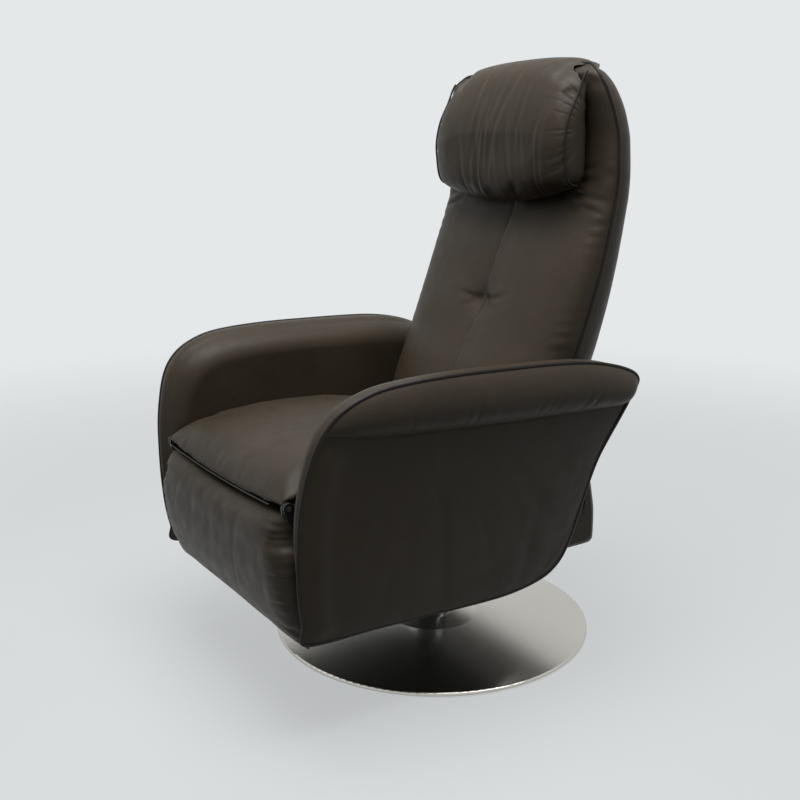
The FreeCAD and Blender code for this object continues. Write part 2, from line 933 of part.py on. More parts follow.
def arm_zone(section):
    """A ruled body through the arm's stations, trimmed to the arm's side view."""
    wires = []
    for row in arm_stations:
        across = [seat_half_width + out for out in row[2:]]
        wires.append(outline(section(row[1], *across), front(row[0])))
    body = loft(wires, True)
    trim = side_slab(arm_silhouette(), arm_inner - 10.0, arm_inner + 180.0)
    return body.common(trim)


def arm_outer_panel():
    """Padded outer side of the arm below the band seam."""
    inner = arm_board_inner + arm_board_thick
    low = 150.0

    def section(seam_z, seam, bulge, piping, ridge, face):
        bottom = min(arm_outer_bottom, seam - 10.0)
        return [
            (inner, low),
            (bottom, low),
            ((bottom + seam) / 2 + 8.0, 330.0, "via"),
            (seam, seam_z),
            (inner, seam_z),
        ]
    return arm_zone(section)


def arm_band():
    """Rolled leather band along the outside of the arm's top."""
    inner = arm_board_inner + arm_board_thick

    def section(seam_z, seam, bulge, piping, ridge, face):
        low = seam_z + 0.3
        return [
            (inner, low),
            (seam, low),
            (bulge, (seam_z + arm_top_z) / 2 + 6.0, "via"),
            (piping, arm_top_z + 1.0),
            (inner + (piping - inner) * 0.45, 562.0),
        ]
    return arm_zone(section)


def arm_pad():
    """Inner pad of the arm, from the seat up and over to the piping."""
    board = arm_board_inner
    inner = board + arm_board_thick
    gap = 0.3

    def section(seam_z, seam, bulge, piping, ridge, face):
        return [
            (arm_inner + 1.2, seat_board_z),
            (board - gap, seat_board_z),
            (board - gap, arm_board_top + gap),
            (inner - gap, arm_board_top + gap),
            (inner - gap, seam_z),
            (inner + (piping - inner) * 0.45 - gap, 562.0),
            (piping - gap, arm_top_z + 1.0),
            ((piping + ridge) / 2, arm_top_z + 4.0, "via"),
            (ridge, arm_top_z - 15.0),
            (face, 470.0, "via"),
        ]
    corner = slab([
        (arm_inner - 20.0, -380.0),
        (arm_inner - 0.5, -405.0),
        (arm_inner + 13.0, -446.0, "via"),
        (arm_inner + 49.0, arm_front_y - 3.0),
        (arm_inner + 49.0, -480.0),
        (arm_inner - 20.0, -480.0),
    ], plan(300.0), Vector(0, 0, 400.0))
    return arm_zone(section).cut(corner)


spacer_spots = [(-372.0, 322.0), (-150.0, 248.0), (20.0, 242.0), (78.0, 312.0)]
spacer_radius = 16.0


def lever_pocket():
    """Room in the left arm pad and beside the cushion for the release lever's swing."""
    y, z = lever_axis
    return box(arm_inner - 4.0, arm_inner + 5.5, y - 32.0, y + 98.0, seat_board_z - 2.0, 492.0)


def arm_frame_board():
    """Plywood side of the arm inside its upholstery."""
    inset = 12.0
    top = arm_board_top
    body = side_slab(arm_silhouette(inset), arm_board_inner, arm_board_inner + arm_board_thick - 0.3)
    reach = box(arm_board_inner - 1, arm_board_inner + arm_board_thick + 1, board_front + 14.0, 300.0, 150.0, top)
    return body.common(reach)


def arm_spacers():
    """Turned spacers between the side rail and the arm board."""
    blocks = []
    for y, z in spacer_spots:
        block = rod_x(y, z, spacer_radius, rail_outer, arm_board_inner)
        blocks.append(block.cut(rod_x(y, z, bolt_radius, rail_outer - 1, arm_board_inner + 1)))
    return Part.makeCompound(blocks)


def arm_bolts():
    """Bolts through the side rail and spacers into the arm board."""
    bolts = []
    for y, z in spacer_spots:
        head = rod_x(y, z, bolt_radius * 1.7, rail_inner - 4.0, rail_inner)
        shank = rod_x(y, z, bolt_radius - 0.02, rail_inner, arm_board_inner + 8.0)
        bolts.append(head.fuse(shank))
    return Part.makeCompound(bolts)


def bolt_holes(shape, x0, x1):
    for y, z in spacer_spots:
        shape = shape.cut(rod_x(y, z, bolt_radius, x0, x1))
    return shape


cover_wall = 12.0
cover_half = 207.0
cover_rear = 254.0
cover_front = mount_half
cover_low = 180.0
cover_high = 314.0
return_high = 283.0
underside_z = 170.8


def rear_cover():
    """Upholstered rear of the seat box: a back wall with short side returns."""
    r = 14.0
    y1 = cover_rear
    y0 = y1 - cover_wall
    wall = side_slab([
        (y1 - 14.0, cover_high),
        (y1 - 2.0, 250.0, "via"),
        (y1, cover_low + r),
        (y1 - r * 0.3, cover_low + r * 0.3, "via"),
        (y1 - r, cover_low),
        (cover_front, cover_low),
        (cover_front, cover_low + 8.0),
        (y0 - 8.0, cover_low + 8.0),
        (y0, cover_low + 18.0),
        (y0 - 12.0, cover_high),
    ], -cover_half, cover_half)
    side_wall = side_slab([
        (cover_front, cover_low),
        (y1 - r, cover_low),
        (y1 - r * 0.3, cover_low + r * 0.3, "via"),
        (y1, cover_low + r),
        (y1 - 2.0, 250.0, "via"),
        (y1 - 14.0, cover_high),
        (y1 - 24.0, cover_high - 4.0),
        (y1 - 32.0, return_high),
        (cover_front, return_high),
    ], cover_half - cover_wall, cover_half)
    return wall.fuse([side_wall, mirrored(side_wall)])


def underside_cover():
    """Thin black dust cover under the seat box, open round the swivel housing."""
    half = arm_board_inner - 0.3
    sheet = 3.0
    flat = box(-half, half, -300.0, 70.0, underside_z, underside_z + sheet)
    return flat.cut(rod_z(0, 0, housing_radius + 8.0, underside_z - 1, underside_z + sheet + 1))


def release_lever():
    """Flat release lever on the left side rail, with a rounded finger grip at its top."""
    y, z = lever_axis
    x0 = rail_outer + 1.0
    thick = 2.6
    strap = link((y, z), (y, 455.0), 9.0, x0, thick, pin_radius + running_gap, None)
    grip = side_slab([
        (y - 22.0, 452.0),
        (y - 27.0, 462.0, "via"),
        (y - 20.0, 474.0),
        (y, 480.0, "via"),
        (y + 20.0, 474.0),
        (y + 27.0, 462.0, "via"),
        (y + 22.0, 452.0),
    ], x0, x0 + 6.0)
    return strap.fuse(grip)


def lever_pin():
    y, z = lever_axis
    return rod_x(y, z, pin_radius, rail_outer, rail_outer + 1.0 + 2.6 + 2.0)


def export(parts):
    os.makedirs("parts", exist_ok=True)
    for name, shape in parts.items():
        shape.exportStep("parts/" + name + ".step")


def build():
    pad = arm_pad()
    rail = bolt_holes(side_rail(), rail_inner - 1, rail_outer + 1)
    board = bolt_holes(arm_frame_board(), arm_board_inner - 1, arm_board_inner + 8.0)
    ears = footrest_bracket()
    parts = {
        "floor_pad": floor_pad(),
        "base_plate": base_plate(),
        "base_cover": base_cover(),
        "column": column(),
        "column_bolts": column_bolt_group(),
        "column_collar": column_collar(),
        "swivel_spindle": spindle(),
        "swivel_washer": swivel_washer(),
        "swivel_housing": swivel_housing(),
        "mounting_plate": mounting_plate(),
        "chassis_rails": chassis_rails(),
        "lower_cross_tubes": lower_cross_tubes(),
        "front_cross_tube": front_cross_tube(),
        "side_rail_left": rail,
        "side_rail_right": mirrored(rail),
        "webbing_rails": both(webbing_rail()),
        "seat_webbing": seat_webbing(),
        "seat_cushion": seat_cushion(),
        "arm_board_left": board,
        "arm_board_right": mirrored(board),
        "arm_spacers": both(arm_spacers()),
        "arm_bolts": both(arm_bolts()),
        "arm_outer_left": arm_outer_panel(),
        "arm_outer_right": mirrored(arm_outer_panel()),
        "arm_band_left": arm_band(),
        "arm_band_right": mirrored(arm_band()),
        "arm_pad_left": pad.cut(lever_pocket()),
        "arm_pad_right": mirrored(pad),
        "rear_cover": rear_cover(),
        "underside_cover": underside_cover(),
        "lever_pin": lever_pin(),
        "release_lever": release_lever(),
        "footrest_pad": footrest_pad(),
        "footrest_board": footrest_board(),
        "footrest_hinge_arms": both(footrest_hinge_arm()),
        "footrest_hinge_pins": both(footrest_hinge_pin()),
        "footrest_brackets": Part.makeCompound(ears + [mirrored(e) for e in ears]),
        "footrest_rod_pins": both(footrest_bracket_pin()),
        "footrest_crank": crank(),
        "crank_pins": crank_pins(),
        "push_rods": push_rods(),
        "back_pivot_tube": back_pivot_tube(),
        "back_side_boards": both(back_side_board()),
        "back_cross_rails": back_cross_rails(),
        "back_webbing": back_webbing(),
        "back_cushion": back_cushion(),
        "back_shell": back_shell(),
        "spring_back_bolt": spring_back_bolt(),
        "head_hinge_lower": both(head_hinge_lower()),
        "head_hinge_pins": both(head_hinge_pin()),
        "head_hinge_upper": both(head_hinge_upper()),
        "head_board": head_board(),
        "head_cushion": head_cushion(),
        "head_shell": head_shell(),
        "head_pillow": head_pillow(),
        "spring_seat_bracket": spring_seat_bracket(),
        "spring_seat_bolt": spring_seat_bolt(),
        "gas_cylinder": gas_cylinder(),
        "gas_rod": gas_rod(),
    }
    return parts


export(build())
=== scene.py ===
import bmesh
import bpy
import json
import math
import numpy as np
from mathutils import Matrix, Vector


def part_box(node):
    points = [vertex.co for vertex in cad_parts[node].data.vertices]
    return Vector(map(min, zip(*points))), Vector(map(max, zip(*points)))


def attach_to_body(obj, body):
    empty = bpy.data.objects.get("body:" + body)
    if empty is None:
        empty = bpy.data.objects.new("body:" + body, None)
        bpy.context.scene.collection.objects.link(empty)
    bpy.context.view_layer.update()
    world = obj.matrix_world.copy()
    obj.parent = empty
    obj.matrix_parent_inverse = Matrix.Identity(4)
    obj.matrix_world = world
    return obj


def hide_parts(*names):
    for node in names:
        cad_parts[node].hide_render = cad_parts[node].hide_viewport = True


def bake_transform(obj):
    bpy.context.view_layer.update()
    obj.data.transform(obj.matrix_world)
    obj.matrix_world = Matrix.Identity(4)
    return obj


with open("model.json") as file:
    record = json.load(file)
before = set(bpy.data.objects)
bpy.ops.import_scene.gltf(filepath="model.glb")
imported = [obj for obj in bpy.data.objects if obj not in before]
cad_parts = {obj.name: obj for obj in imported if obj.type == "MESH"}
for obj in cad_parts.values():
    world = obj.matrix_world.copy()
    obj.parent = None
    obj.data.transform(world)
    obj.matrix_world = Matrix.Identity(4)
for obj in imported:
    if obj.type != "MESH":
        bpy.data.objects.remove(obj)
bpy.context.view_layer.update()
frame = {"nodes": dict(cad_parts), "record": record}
nodes = frame["nodes"]


# Curves

def interp(x, xs, ys):
    """A smooth curve through the points (xs, ys), read at x, without overshoot."""
    xs, ys = np.asarray(xs, float), np.asarray(ys, float)
    run = np.diff(xs)
    rise = np.diff(ys) / run
    slope = np.empty_like(ys)
    slope[0], slope[-1] = rise[0], rise[-1]
    same = rise[:-1] * rise[1:] > 0
    slope[1:-1] = np.where(same, 2 * rise[:-1] * rise[1:] / (rise[:-1] + rise[1:] + 1e-12), 0)
    k = np.clip(np.searchsorted(xs, x) - 1, 0, len(xs) - 2)
    t = np.clip((x - xs[k]) / run[k], 0, 1)
    return ((2*t**3 - 3*t**2 + 1) * ys[k] + (t**3 - 2*t**2 + t) * run[k] * slope[k]
            + (3*t**2 - 2*t**3) * ys[k + 1] + (t**3 - t**2) * run[k] * slope[k + 1])


def spread(line, count, closed=False):
    """count points at even steps along a polyline."""
    if closed:
        line = np.vstack([line, line[:1]])
    gone = np.r_[0, np.cumsum(np.linalg.norm(np.diff(line, axis=0), axis=1))]
    want = np.linspace(0, gone[-1], count, endpoint=not closed)
    return np.stack([np.interp(want, gone, line[:, k]) for k in range(line.shape[1])], 1)


def smooth_line(points, count, closed=False):
    """count even points on a Catmull-Rom line through the points."""
    P = np.asarray(points, float)
    if closed:
        E = np.vstack([P[-1], P, P[:2]])
    else:
        E = np.vstack([2 * P[0] - P[1], P, 2 * P[-1] - P[-2]])
    t = np.linspace(0, 1, 24, endpoint=False)[:, None]
    runs = []
    for a, b, c, d in zip(E[:-3], E[1:-2], E[2:-1], E[3:]):
        runs.append(0.5 * (2*b + (c - a) * t + (2*a - 5*b + 4*c - d) * t**2 + (3*b - a - 3*c + d) * t**3))
    if not closed:
        runs.append(P[-1:])
    return spread(np.vstack(runs), count, closed)


def step(start, end, x):
    """0 at start, 1 at end, with a soft ramp between; start may be the larger."""
    t = np.clip((x - start) / (end - start), 0, 1)
    return t * t * (3 - 2 * t)


def bell(x, width):
    """1 at 0, fading out on both sides over a width."""
    return np.exp(-(x / width) ** 2)


def crease(across, width):
    """Section of a fold: a valley with a low ridge beside it."""
    return bell(across, width) - 0.5 * bell(across - 1.9 * width, 1.2 * width)


# Meshes

def new_mesh(name, points, faces, material):
    mesh = bpy.data.meshes.new(name)
    mesh.from_pydata([tuple(p) for p in points], [], faces)
    mesh.materials.append(material)
    mesh.update()
    for face in mesh.polygons:
        face.use_smooth = True
    piece = bpy.data.objects.new(name, mesh)
    bpy.context.scene.collection.objects.link(piece)
    return piece


def grid_faces(rows, columns, wrap_rows=False, wrap_columns=False):
    faces = []
    for i in range(rows if wrap_rows else rows - 1):
        a, b = i * columns, ((i + 1) % rows) * columns
        for j in range(columns if wrap_columns else columns - 1):
            k = (j + 1) % columns
            faces.append((a + j, a + k, b + k, b + j))
    return faces


def skin(name, P, material, outward, wrap_columns=False):
    """An open sheet through a grid of points, turned so that it faces the outward direction."""
    faces = grid_faces(P.shape[0], P.shape[1], False, wrap_columns)
    piece = new_mesh(name, P.reshape(-1, 3), faces, material)
    facing = sum((face.normal * face.area for face in piece.data.polygons), Vector())
    if facing.dot(Vector(outward)) < 0:
        piece.data.flip_normals()
    return piece


def turn_out(mesh):
    work = bmesh.new()
    work.from_mesh(mesh)
    bmesh.ops.recalc_face_normals(work, faces=work.faces)
    work.to_mesh(mesh)
    work.free()
    mesh.update()


def closed_form(name, rings, material):
    """A closed body through rings of points, with a fan over each end."""
    P = np.asarray(rings)
    rows, columns = P.shape[:2]
    faces = grid_faces(rows, columns, wrap_columns=True)
    first, last, end = rows * columns, rows * columns + 1, (rows - 1) * columns
    for j in range(columns):
        k = (j + 1) % columns
        faces.append((j, first, k))
        faces.append((end + j, end + k, last))
    points = np.vstack([P.reshape(-1, 3), P[0].mean(0), P[-1].mean(0)])
    piece = new_mesh(name, points, faces, material)
    turn_out(piece.data)
    return piece


def points_of(piece):
    flat = np.empty(len(piece.data.vertices) * 3)
    piece.data.vertices.foreach_get("co", flat)
    return flat.reshape(-1, 3)


def set_points(piece, P):
    piece.data.vertices.foreach_set("co", P.ravel())
    piece.data.update()


def mirror_piece(piece, name):
    twin = bpy.data.objects.new(name, piece.data.copy())
    bpy.context.scene.collection.objects.link(twin)
    set_points(twin, points_of(twin) * [-1, 1, 1])
    twin.data.flip_normals()
    return twin


def tube(name, line, radius, material, sides=10, closed=False):
    """A round bead along a line of points."""
    L = np.asarray(line, float)
    along = np.roll(L, -1, 0) - np.roll(L, 1, 0) if closed else np.gradient(L, axis=0)
    along /= np.linalg.norm(along, axis=1)[:, None]
    angle = np.linspace(0, 2 * np.pi, sides, endpoint=False)[:, None]
    u = np.cross(along[0], [0.31, 0.52, 0.80])
    rings = []
    for here, forward in zip(L, along):
        u = u - forward * np.dot(u, forward)
        u /= np.linalg.norm(u)
        rings.append(here + radius * (np.cos(angle) * u + np.sin(angle) * np.cross(forward, u)))
    if not closed:
        return closed_form(name, rings, material)
    piece = new_mesh(name, np.vstack(rings), grid_faces(len(L), sides, True, True), material)
    turn_out(piece.data)
    return piece


def stitches(name, line, material, length=0.0046, pitch=0.0062, radius=0.0007):
    """Separate thread stitches along a seam."""
    count = int(np.linalg.norm(np.diff(line, axis=0), axis=1).sum() / pitch)
    fine = spread(np.asarray(line), count * 8 + 1)
    keep = max(2, round(8 * length / pitch))
    points, faces = [], []
    angle = np.linspace(0, 2 * np.pi, 5, endpoint=False)[:, None]
    for k in range(count):
        run = fine[k * 8:k * 8 + keep + 1]
        forward = (run[-1] - run[0]) / np.linalg.norm(run[-1] - run[0])
        u = np.cross(forward, [0.31, 0.52, 0.80])
        u /= np.linalg.norm(u)
        around = radius * (np.cos(angle) * u + np.sin(angle) * np.cross(forward, u))
        base = len(points)
        for here, thick in ((run[0], 0.35), (run[len(run) // 2], 1.0), (run[-1], 0.35)):
            points.extend(here + around * thick)
        faces += [tuple(base + q for q in face) for face in grid_faces(3, 5, wrap_columns=True)]
        faces += [tuple(base + q for q in range(5)), tuple(base + q for q in range(14, 9, -1))]
    piece = new_mesh(name, points, faces, material)
    turn_out(piece.data)
    return piece


def bake(piece):
    """Applies the piece's modifiers."""
    graph = bpy.context.evaluated_depsgraph_get()
    mesh = bpy.data.meshes.new_from_object(piece.evaluated_get(graph))
    piece.modifiers.clear()
    piece.data = mesh
    for face in mesh.polygons:
        face.use_smooth = True


def plump(piece, voxel, cap, low, high):
    """Swells a closed pad with the cloth solver, moving no point further than cap or out of a box."""
    scene = bpy.context.scene
    start = piece.modifiers.new("remesh", "REMESH")
    start.mode = "VOXEL"
    start.voxel_size = voxel
    start.use_smooth_shade = True
    bake(piece)
    before = points_of(piece)
    normals = np.array([v.normal for v in piece.data.vertices])
    set_points(piece, before - normals * cap * 0.5)
    cloth = piece.modifiers.new("cloth", "CLOTH")
    cloth.settings.quality = 4
    cloth.settings.use_pressure = True
    cloth.settings.uniform_pressure_force = 4
    cloth.settings.effector_weights.gravity = 0
    cloth.point_cache.frame_start = 1
    cloth.point_cache.frame_end = 20
    for number in range(1, 21):
        scene.frame_set(number)
    swollen = piece.evaluated_get(bpy.context.evaluated_depsgraph_get()).to_mesh()
    flat = np.empty(len(swollen.vertices) * 3)
    swollen.vertices.foreach_get("co", flat)
    piece.modifiers.clear()
    scene.frame_set(1)
    move = flat.reshape(-1, 3) - before
    far = np.linalg.norm(move, axis=1)[:, None]
    move *= np.minimum(1, cap / np.maximum(far, 1e-9))
    set_points(piece, np.clip(before + move, low, high))
    smooth = piece.modifiers.new("smooth", "SMOOTH")
    smooth.iterations = 4
    finer = piece.modifiers.new("finer", "SUBSURF")
    finer.levels = 1
    bake(piece)


# Materials

def linear(code):
    """An sRGB hex colour as linear RGBA."""
    parts = [int(code[k:k + 2], 16) / 255 for k in (1, 3, 5)]
    return [c / 12.92 if c <= 0.04045 else ((c + 0.055) / 1.055) ** 2.4 for c in parts] + [1.0]


def per_mm(size):
    """A texture scale, in metres, that gives features of a size in mm."""
    return 1000.0 / size


def add(tree, kind, settings=(), links=()):
    """Adds a node, sets its inputs or properties, and links sockets to its inputs."""
    node = tree.nodes.new(kind)
    for key, value in dict(settings).items():
        if isinstance(key, int) or key in node.inputs:
            node.inputs[key].default_value = value
        else:
            setattr(node, key, value)
    for key, socket in dict(links).items():
        tree.links.new(socket, node.inputs[key])
    return node


def start_material(name, settings):
    material = bpy.data.materials.new(name)
    material.use_nodes = True
    tree = material.node_tree
    shader = tree.nodes["Principled BSDF"]
    for key, value in settings.items():
        shader.inputs[key].default_value = value
    return material, tree, shader, add(tree, "ShaderNodeTexCoord").outputs["Object"]


def tint(tree, value, dark, light, low=0.3, high=0.7):
    """Two near colours mixed by a pattern."""
    ramp = add(tree, "ShaderNodeValToRGB", links={"Fac": value})
    for stop, place, code in zip(ramp.color_ramp.elements, (low, high), (dark, light)):
        stop.position = place
        stop.color = linear(code)
    return ramp.outputs["Color"]


def pigmented_leather(name, dark, light, rough, grain):
    """Corrected-grain cow hide with a pigment coat: a satin face over pebbled grain."""
    material, tree, shader, place = start_material(name, {"IOR": 1.48, "Specular IOR Level": 0.22})
    # the coat is uneven by a few percent over a hand's width
    patch = add(tree, "ShaderNodeTexNoise", {"Scale": per_mm(160), "Detail": 4}, {"Vector": place})
    tree.links.new(tint(tree, patch.outputs["Fac"], dark, light), shader.inputs["Base Color"])
    # real pebbles are 1.5 mm wide; they are drawn at 3 mm to show at this distance
    warp = add(tree, "ShaderNodeTexNoise", {"Scale": per_mm(9), "Detail": 2}, {"Vector": place})
    bent = add(tree, "ShaderNodeVectorMath", {"operation": "MULTIPLY_ADD", 1: (0.003, 0.003, 0.003)},
               {0: warp.outputs["Color"], 2: place})
    pebble = add(tree, "ShaderNodeTexVoronoi", {"feature": "DISTANCE_TO_EDGE", "Scale": per_mm(3.0)},
                 {"Vector": bent.outputs["Vector"]})
    groove = add(tree, "ShaderNodeMapRange", {"From Max": 0.3}, {"Value": pebble.outputs["Distance"]})
    handle = add(tree, "ShaderNodeTexNoise", {"Scale": per_mm(26), "Detail": 5}, {"Vector": place})
    soft = add(tree, "ShaderNodeBump", {"Strength": 0.22, "Distance": 0.0025},
               {"Height": handle.outputs["Fac"]})
    fine = add(tree, "ShaderNodeBump", {"Strength": grain, "Distance": 0.0004},
               {"Height": groove.outputs["Result"], "Normal": soft.outputs["Normal"]})
    tree.links.new(fine.outputs["Normal"], shader.inputs["Normal"])
    # handled places are a little glossier
    gloss = add(tree, "ShaderNodeMapRange", {"From Min": 0.3, "From Max": 0.7, "To Min": rough - 0.05,
                                             "To Max": rough + 0.07}, {"Value": handle.outputs["Fac"]})
    tree.links.new(gloss.outputs["Result"], shader.inputs["Roughness"])
    return material


def coated_metal(name, dark, light, rough, metallic, size, bump):
    """A metal or coated surface with a fine even texture of a size in mm."""
    material, tree, shader, place = start_material(name, {"Metallic": metallic})
    speck = add(tree, "ShaderNodeTexNoise", {"Scale": per_mm(size), "Detail": 3}, {"Vector": place})
    tree.links.new(tint(tree, speck.outputs["Fac"], dark, light), shader.inputs["Base Color"])
    gloss = add(tree, "ShaderNodeMapRange", {"To Min": rough * 0.8, "To Max": rough * 1.25},
                {"Value": speck.outputs["Fac"]})
    tree.links.new(gloss.outputs["Result"], shader.inputs["Roughness"])
    uneven = add(tree, "ShaderNodeBump", {"Strength": bump, "Distance": 0.0003},
                 {"Height": speck.outputs["Fac"]})
    tree.links.new(uneven.outputs["Normal"], shader.inputs["Normal"])
    return material


def turned_stainless(name):
    """Stainless sheet brushed on a lathe: rings round the column that draw reflections into fans."""
    material, tree, shader, place = start_material(name, {
        "Metallic": 1.0, "Base Color": linear("#c9c5bd"), "Anisotropic": 0.8})
    axes = add(tree, "ShaderNodeSeparateXYZ", links={"Vector": place})
    flat = add(tree, "ShaderNodeCombineXYZ", links={"X": axes.outputs["X"], "Y": axes.outputs["Y"]})
    out = add(tree, "ShaderNodeVectorMath", {"operation": "LENGTH"}, {0: flat.outputs["Vector"]})
    # brush lines are 0.1 mm apart; they are drawn 0.8 mm apart to show
    lines = add(tree, "ShaderNodeTexNoise", {"noise_dimensions": "1D", "Scale": per_mm(0.8), "Detail": 4},
                {"W": out.outputs["Value"]})
    gloss = add(tree, "ShaderNodeMapRange", {"To Min": 0.13, "To Max": 0.27},
                {"Value": lines.outputs["Fac"]})
    tree.links.new(gloss.outputs["Result"], shader.inputs["Roughness"])
    scored = add(tree, "ShaderNodeBump", {"Strength": 0.06, "Distance": 0.0002},
                 {"Height": lines.outputs["Fac"]})
    tree.links.new(scored.outputs["Normal"], shader.inputs["Normal"])
    tangent = add(tree, "ShaderNodeTangent", {"direction_type": "RADIAL", "axis": "Z"})
    tree.links.new(tangent.outputs["Tangent"], shader.inputs["Tangent"])
    return material


def birch_plywood(name, ply_axis):
    """Birch plywood: long pale grain on the faces and 1.5 mm plies on the cut edges."""
    material, tree, shader, place = start_material(name, {"Roughness": 0.62, "Specular IOR Level": 0.3})
    stretch = add(tree, "ShaderNodeMapping", {"Scale": (1.0, 1.0, 0.07)}, {"Vector": place})
    grain = add(tree, "ShaderNodeTexNoise", {"Scale": per_mm(8), "Detail": 6},
                {"Vector": stretch.outputs["Vector"]})
    bands = {"bands_direction": ply_axis, "Scale": per_mm(3.0) / 20 * math.pi, "Distortion": 0.2}
    plies = add(tree, "ShaderNodeTexWave", bands, {"Vector": place})
    both = add(tree, "ShaderNodeMath", {"operation": "MULTIPLY_ADD", 1: 0.35},
               {0: plies.outputs["Fac"], 2: grain.outputs["Fac"]})
    colour = tint(tree, both.outputs["Value"], "#8f6d45", "#cba878", 0.35, 0.95)
    tree.links.new(colour, shader.inputs["Base Color"])
    rise = add(tree, "ShaderNodeBump", {"Strength": 0.2, "Distance": 0.0005},
               {"Height": grain.outputs["Fac"]})
    tree.links.new(rise.outputs["Normal"], shader.inputs["Normal"])
    return material


def fibre_cloth(name, dark, light, size, bump):
    """A matt cloth, thread or felt whose fibres or tufts have a size in mm."""
    material, tree, shader, place = start_material(name, {
        "Roughness": 0.9, "Specular IOR Level": 0.2, "Sheen Weight": 0.2, "Sheen Roughness": 0.6})
    tuft = add(tree, "ShaderNodeTexVoronoi", {"Scale": per_mm(size)}, {"Vector": place})
    tree.links.new(tint(tree, tuft.outputs["Distance"], light, dark, 0.1, 0.7), shader.inputs["Base Color"])
    rise = add(tree, "ShaderNodeBump", {"Strength": bump, "Distance": 0.0005},
               {"Height": tuft.outputs["Distance"]})
    tree.links.new(rise.outputs["Normal"], shader.inputs["Normal"])
    return material


hide = pigmented_leather("pigmented_leather", "#342c21", "#41382d", 0.44, 0.32)
# the welts are real seam beads, but their colour is darker than the hide: painted shade for the shadow in
# the seam grooves beside them
welt_hide_with_painted_shade = pigmented_leather("skived_leather_welt_painted_shade", "#1b1815", "#221f1b", 0.40, 0.15)
thread = fibre_cloth("bonded_polyester_thread", "#4a443c", "#8a8071", 0.6, 0.3)
finish = {
    "leather": hide,
    "base_steel": turned_stainless("turned_stainless_sheet"),
    "chrome_tube": coated_metal("chrome_plate", "#c4c6c8", "#d2d4d6", 0.09, 1.0, 40, 0.02),
    "zinc_steel": coated_metal("zinc_plate", "#9fa09c", "#b9bab4", 0.34, 1.0, 3, 0.1),
    "frame_steel": coated_metal("powder_coated_steel", "#1b1b1d", "#262628", 0.42, 0.0, 1.5, 0.3),
    "ballast_steel": coated_metal("blackened_plate", "#1d1c1b", "#2a2826", 0.5, 0.0, 6, 0.3),
    "lever_plastic": coated_metal("moulded_abs", "#1c1c1d", "#232324", 0.38, 0.0, 1.2, 0.25),
    "nylon": coated_metal("turned_nylon", "#cfcbbf", "#dcd8cd", 0.5, 0.0, 4, 0.08),
    "webbing": fibre_cloth("elastic_webbing", "#1e1e20", "#3a3a3e", 1.6, 0.6),
    "dust_cover": fibre_cloth("spunbond_dust_cloth", "#121213", "#1e1e20", 1.0, 0.4),
    "felt": fibre_cloth("pressed_felt", "#1c1c1c", "#333232", 1.2, 0.5),
}
plywood_across = birch_plywood("birch_plywood_across", "X")
plywood_facing = birch_plywood("birch_plywood_facing", "Y")
for part in frame["record"]["subparts"]:
    if part["material_slot"] == "plywood":
        across = part["node"].startswith(("arm_board", "back_side", "webbing_rails"))
        look = plywood_across if across else plywood_facing
    else:
        look = finish[part["material_slot"]]
    for held in nodes[part["node"]].material_slots:
        held.material = look


# Back: heights, with the depth of the front, the piping and the rear, and the share of the half width

BACK_Z = [.350, .385, .450, .529, .600, .680, .760, .830, .870, .900, .960, 1.010, 1.050, 1.078, 1.094]
FRONT = [.010, .004, .008, .040, .078, .115, .150, .184, .198, .204, .207, .200, .192, .192, .203]
PIPING = [.084, .092, .112, .135, .158, .184, .207, .222, .230, .232, .232, .223, .212, .206, .212]
REAR = [.228, .240, .245, .250, .268, .287, .301, .312, .317, .318, .316, .307, .290, .268, .236]
SHARE = [.880, .905, .935, .957, .980, .995, 1.0, 1.0, .999, .997, .982, .957, .915, .850, .745]
back_half = .245
crown_z = 1.078
crown_high = .0182
tuft_z = .657
front_low = .372         # where the front's lower edge starts to roll under
front_roll = .018


def back_half_at(z):
    return interp(z, BACK_Z, SHARE) * back_half + .004 * np.clip((z - crown_z) / crown_high, 0, 1)


def half_section(z, y_face, squareness, roundness, count):
    """Half of the back at a height, from the piping at one side round to the other."""
    y_pipe = interp(z, BACK_Z, PIPING)
    depth = y_face - y_pipe
    if z > crown_z:
        depth *= math.sqrt(max(0.02, 1 - ((z - crown_z) / crown_high) ** 2))
    t = np.linspace(0, np.pi, 400)
    x = back_half_at(z) * np.sign(np.cos(t)) * np.abs(np.cos(t)) ** (2 / squareness)
    y = y_pipe + depth * np.abs(np.sin(t)) ** (2 / roundness)
    line = spread(np.stack([x, y], 1), count)
    return np.column_stack([line, np.full(count, z)])


def centre_valley(x, z):
    """How far the front is drawn in along the centre seam and round the tuft."""
    pull = .0045 * bell(x, .045) * step(.86, .83, z)
    pull = pull + .0024 * bell(x, .006) * step(.88, .86, z)
    away = np.hypot(x / 1.25, z - tuft_z)
    return pull + .0105 * bell(away, .024) + .004 * bell(away, .06)


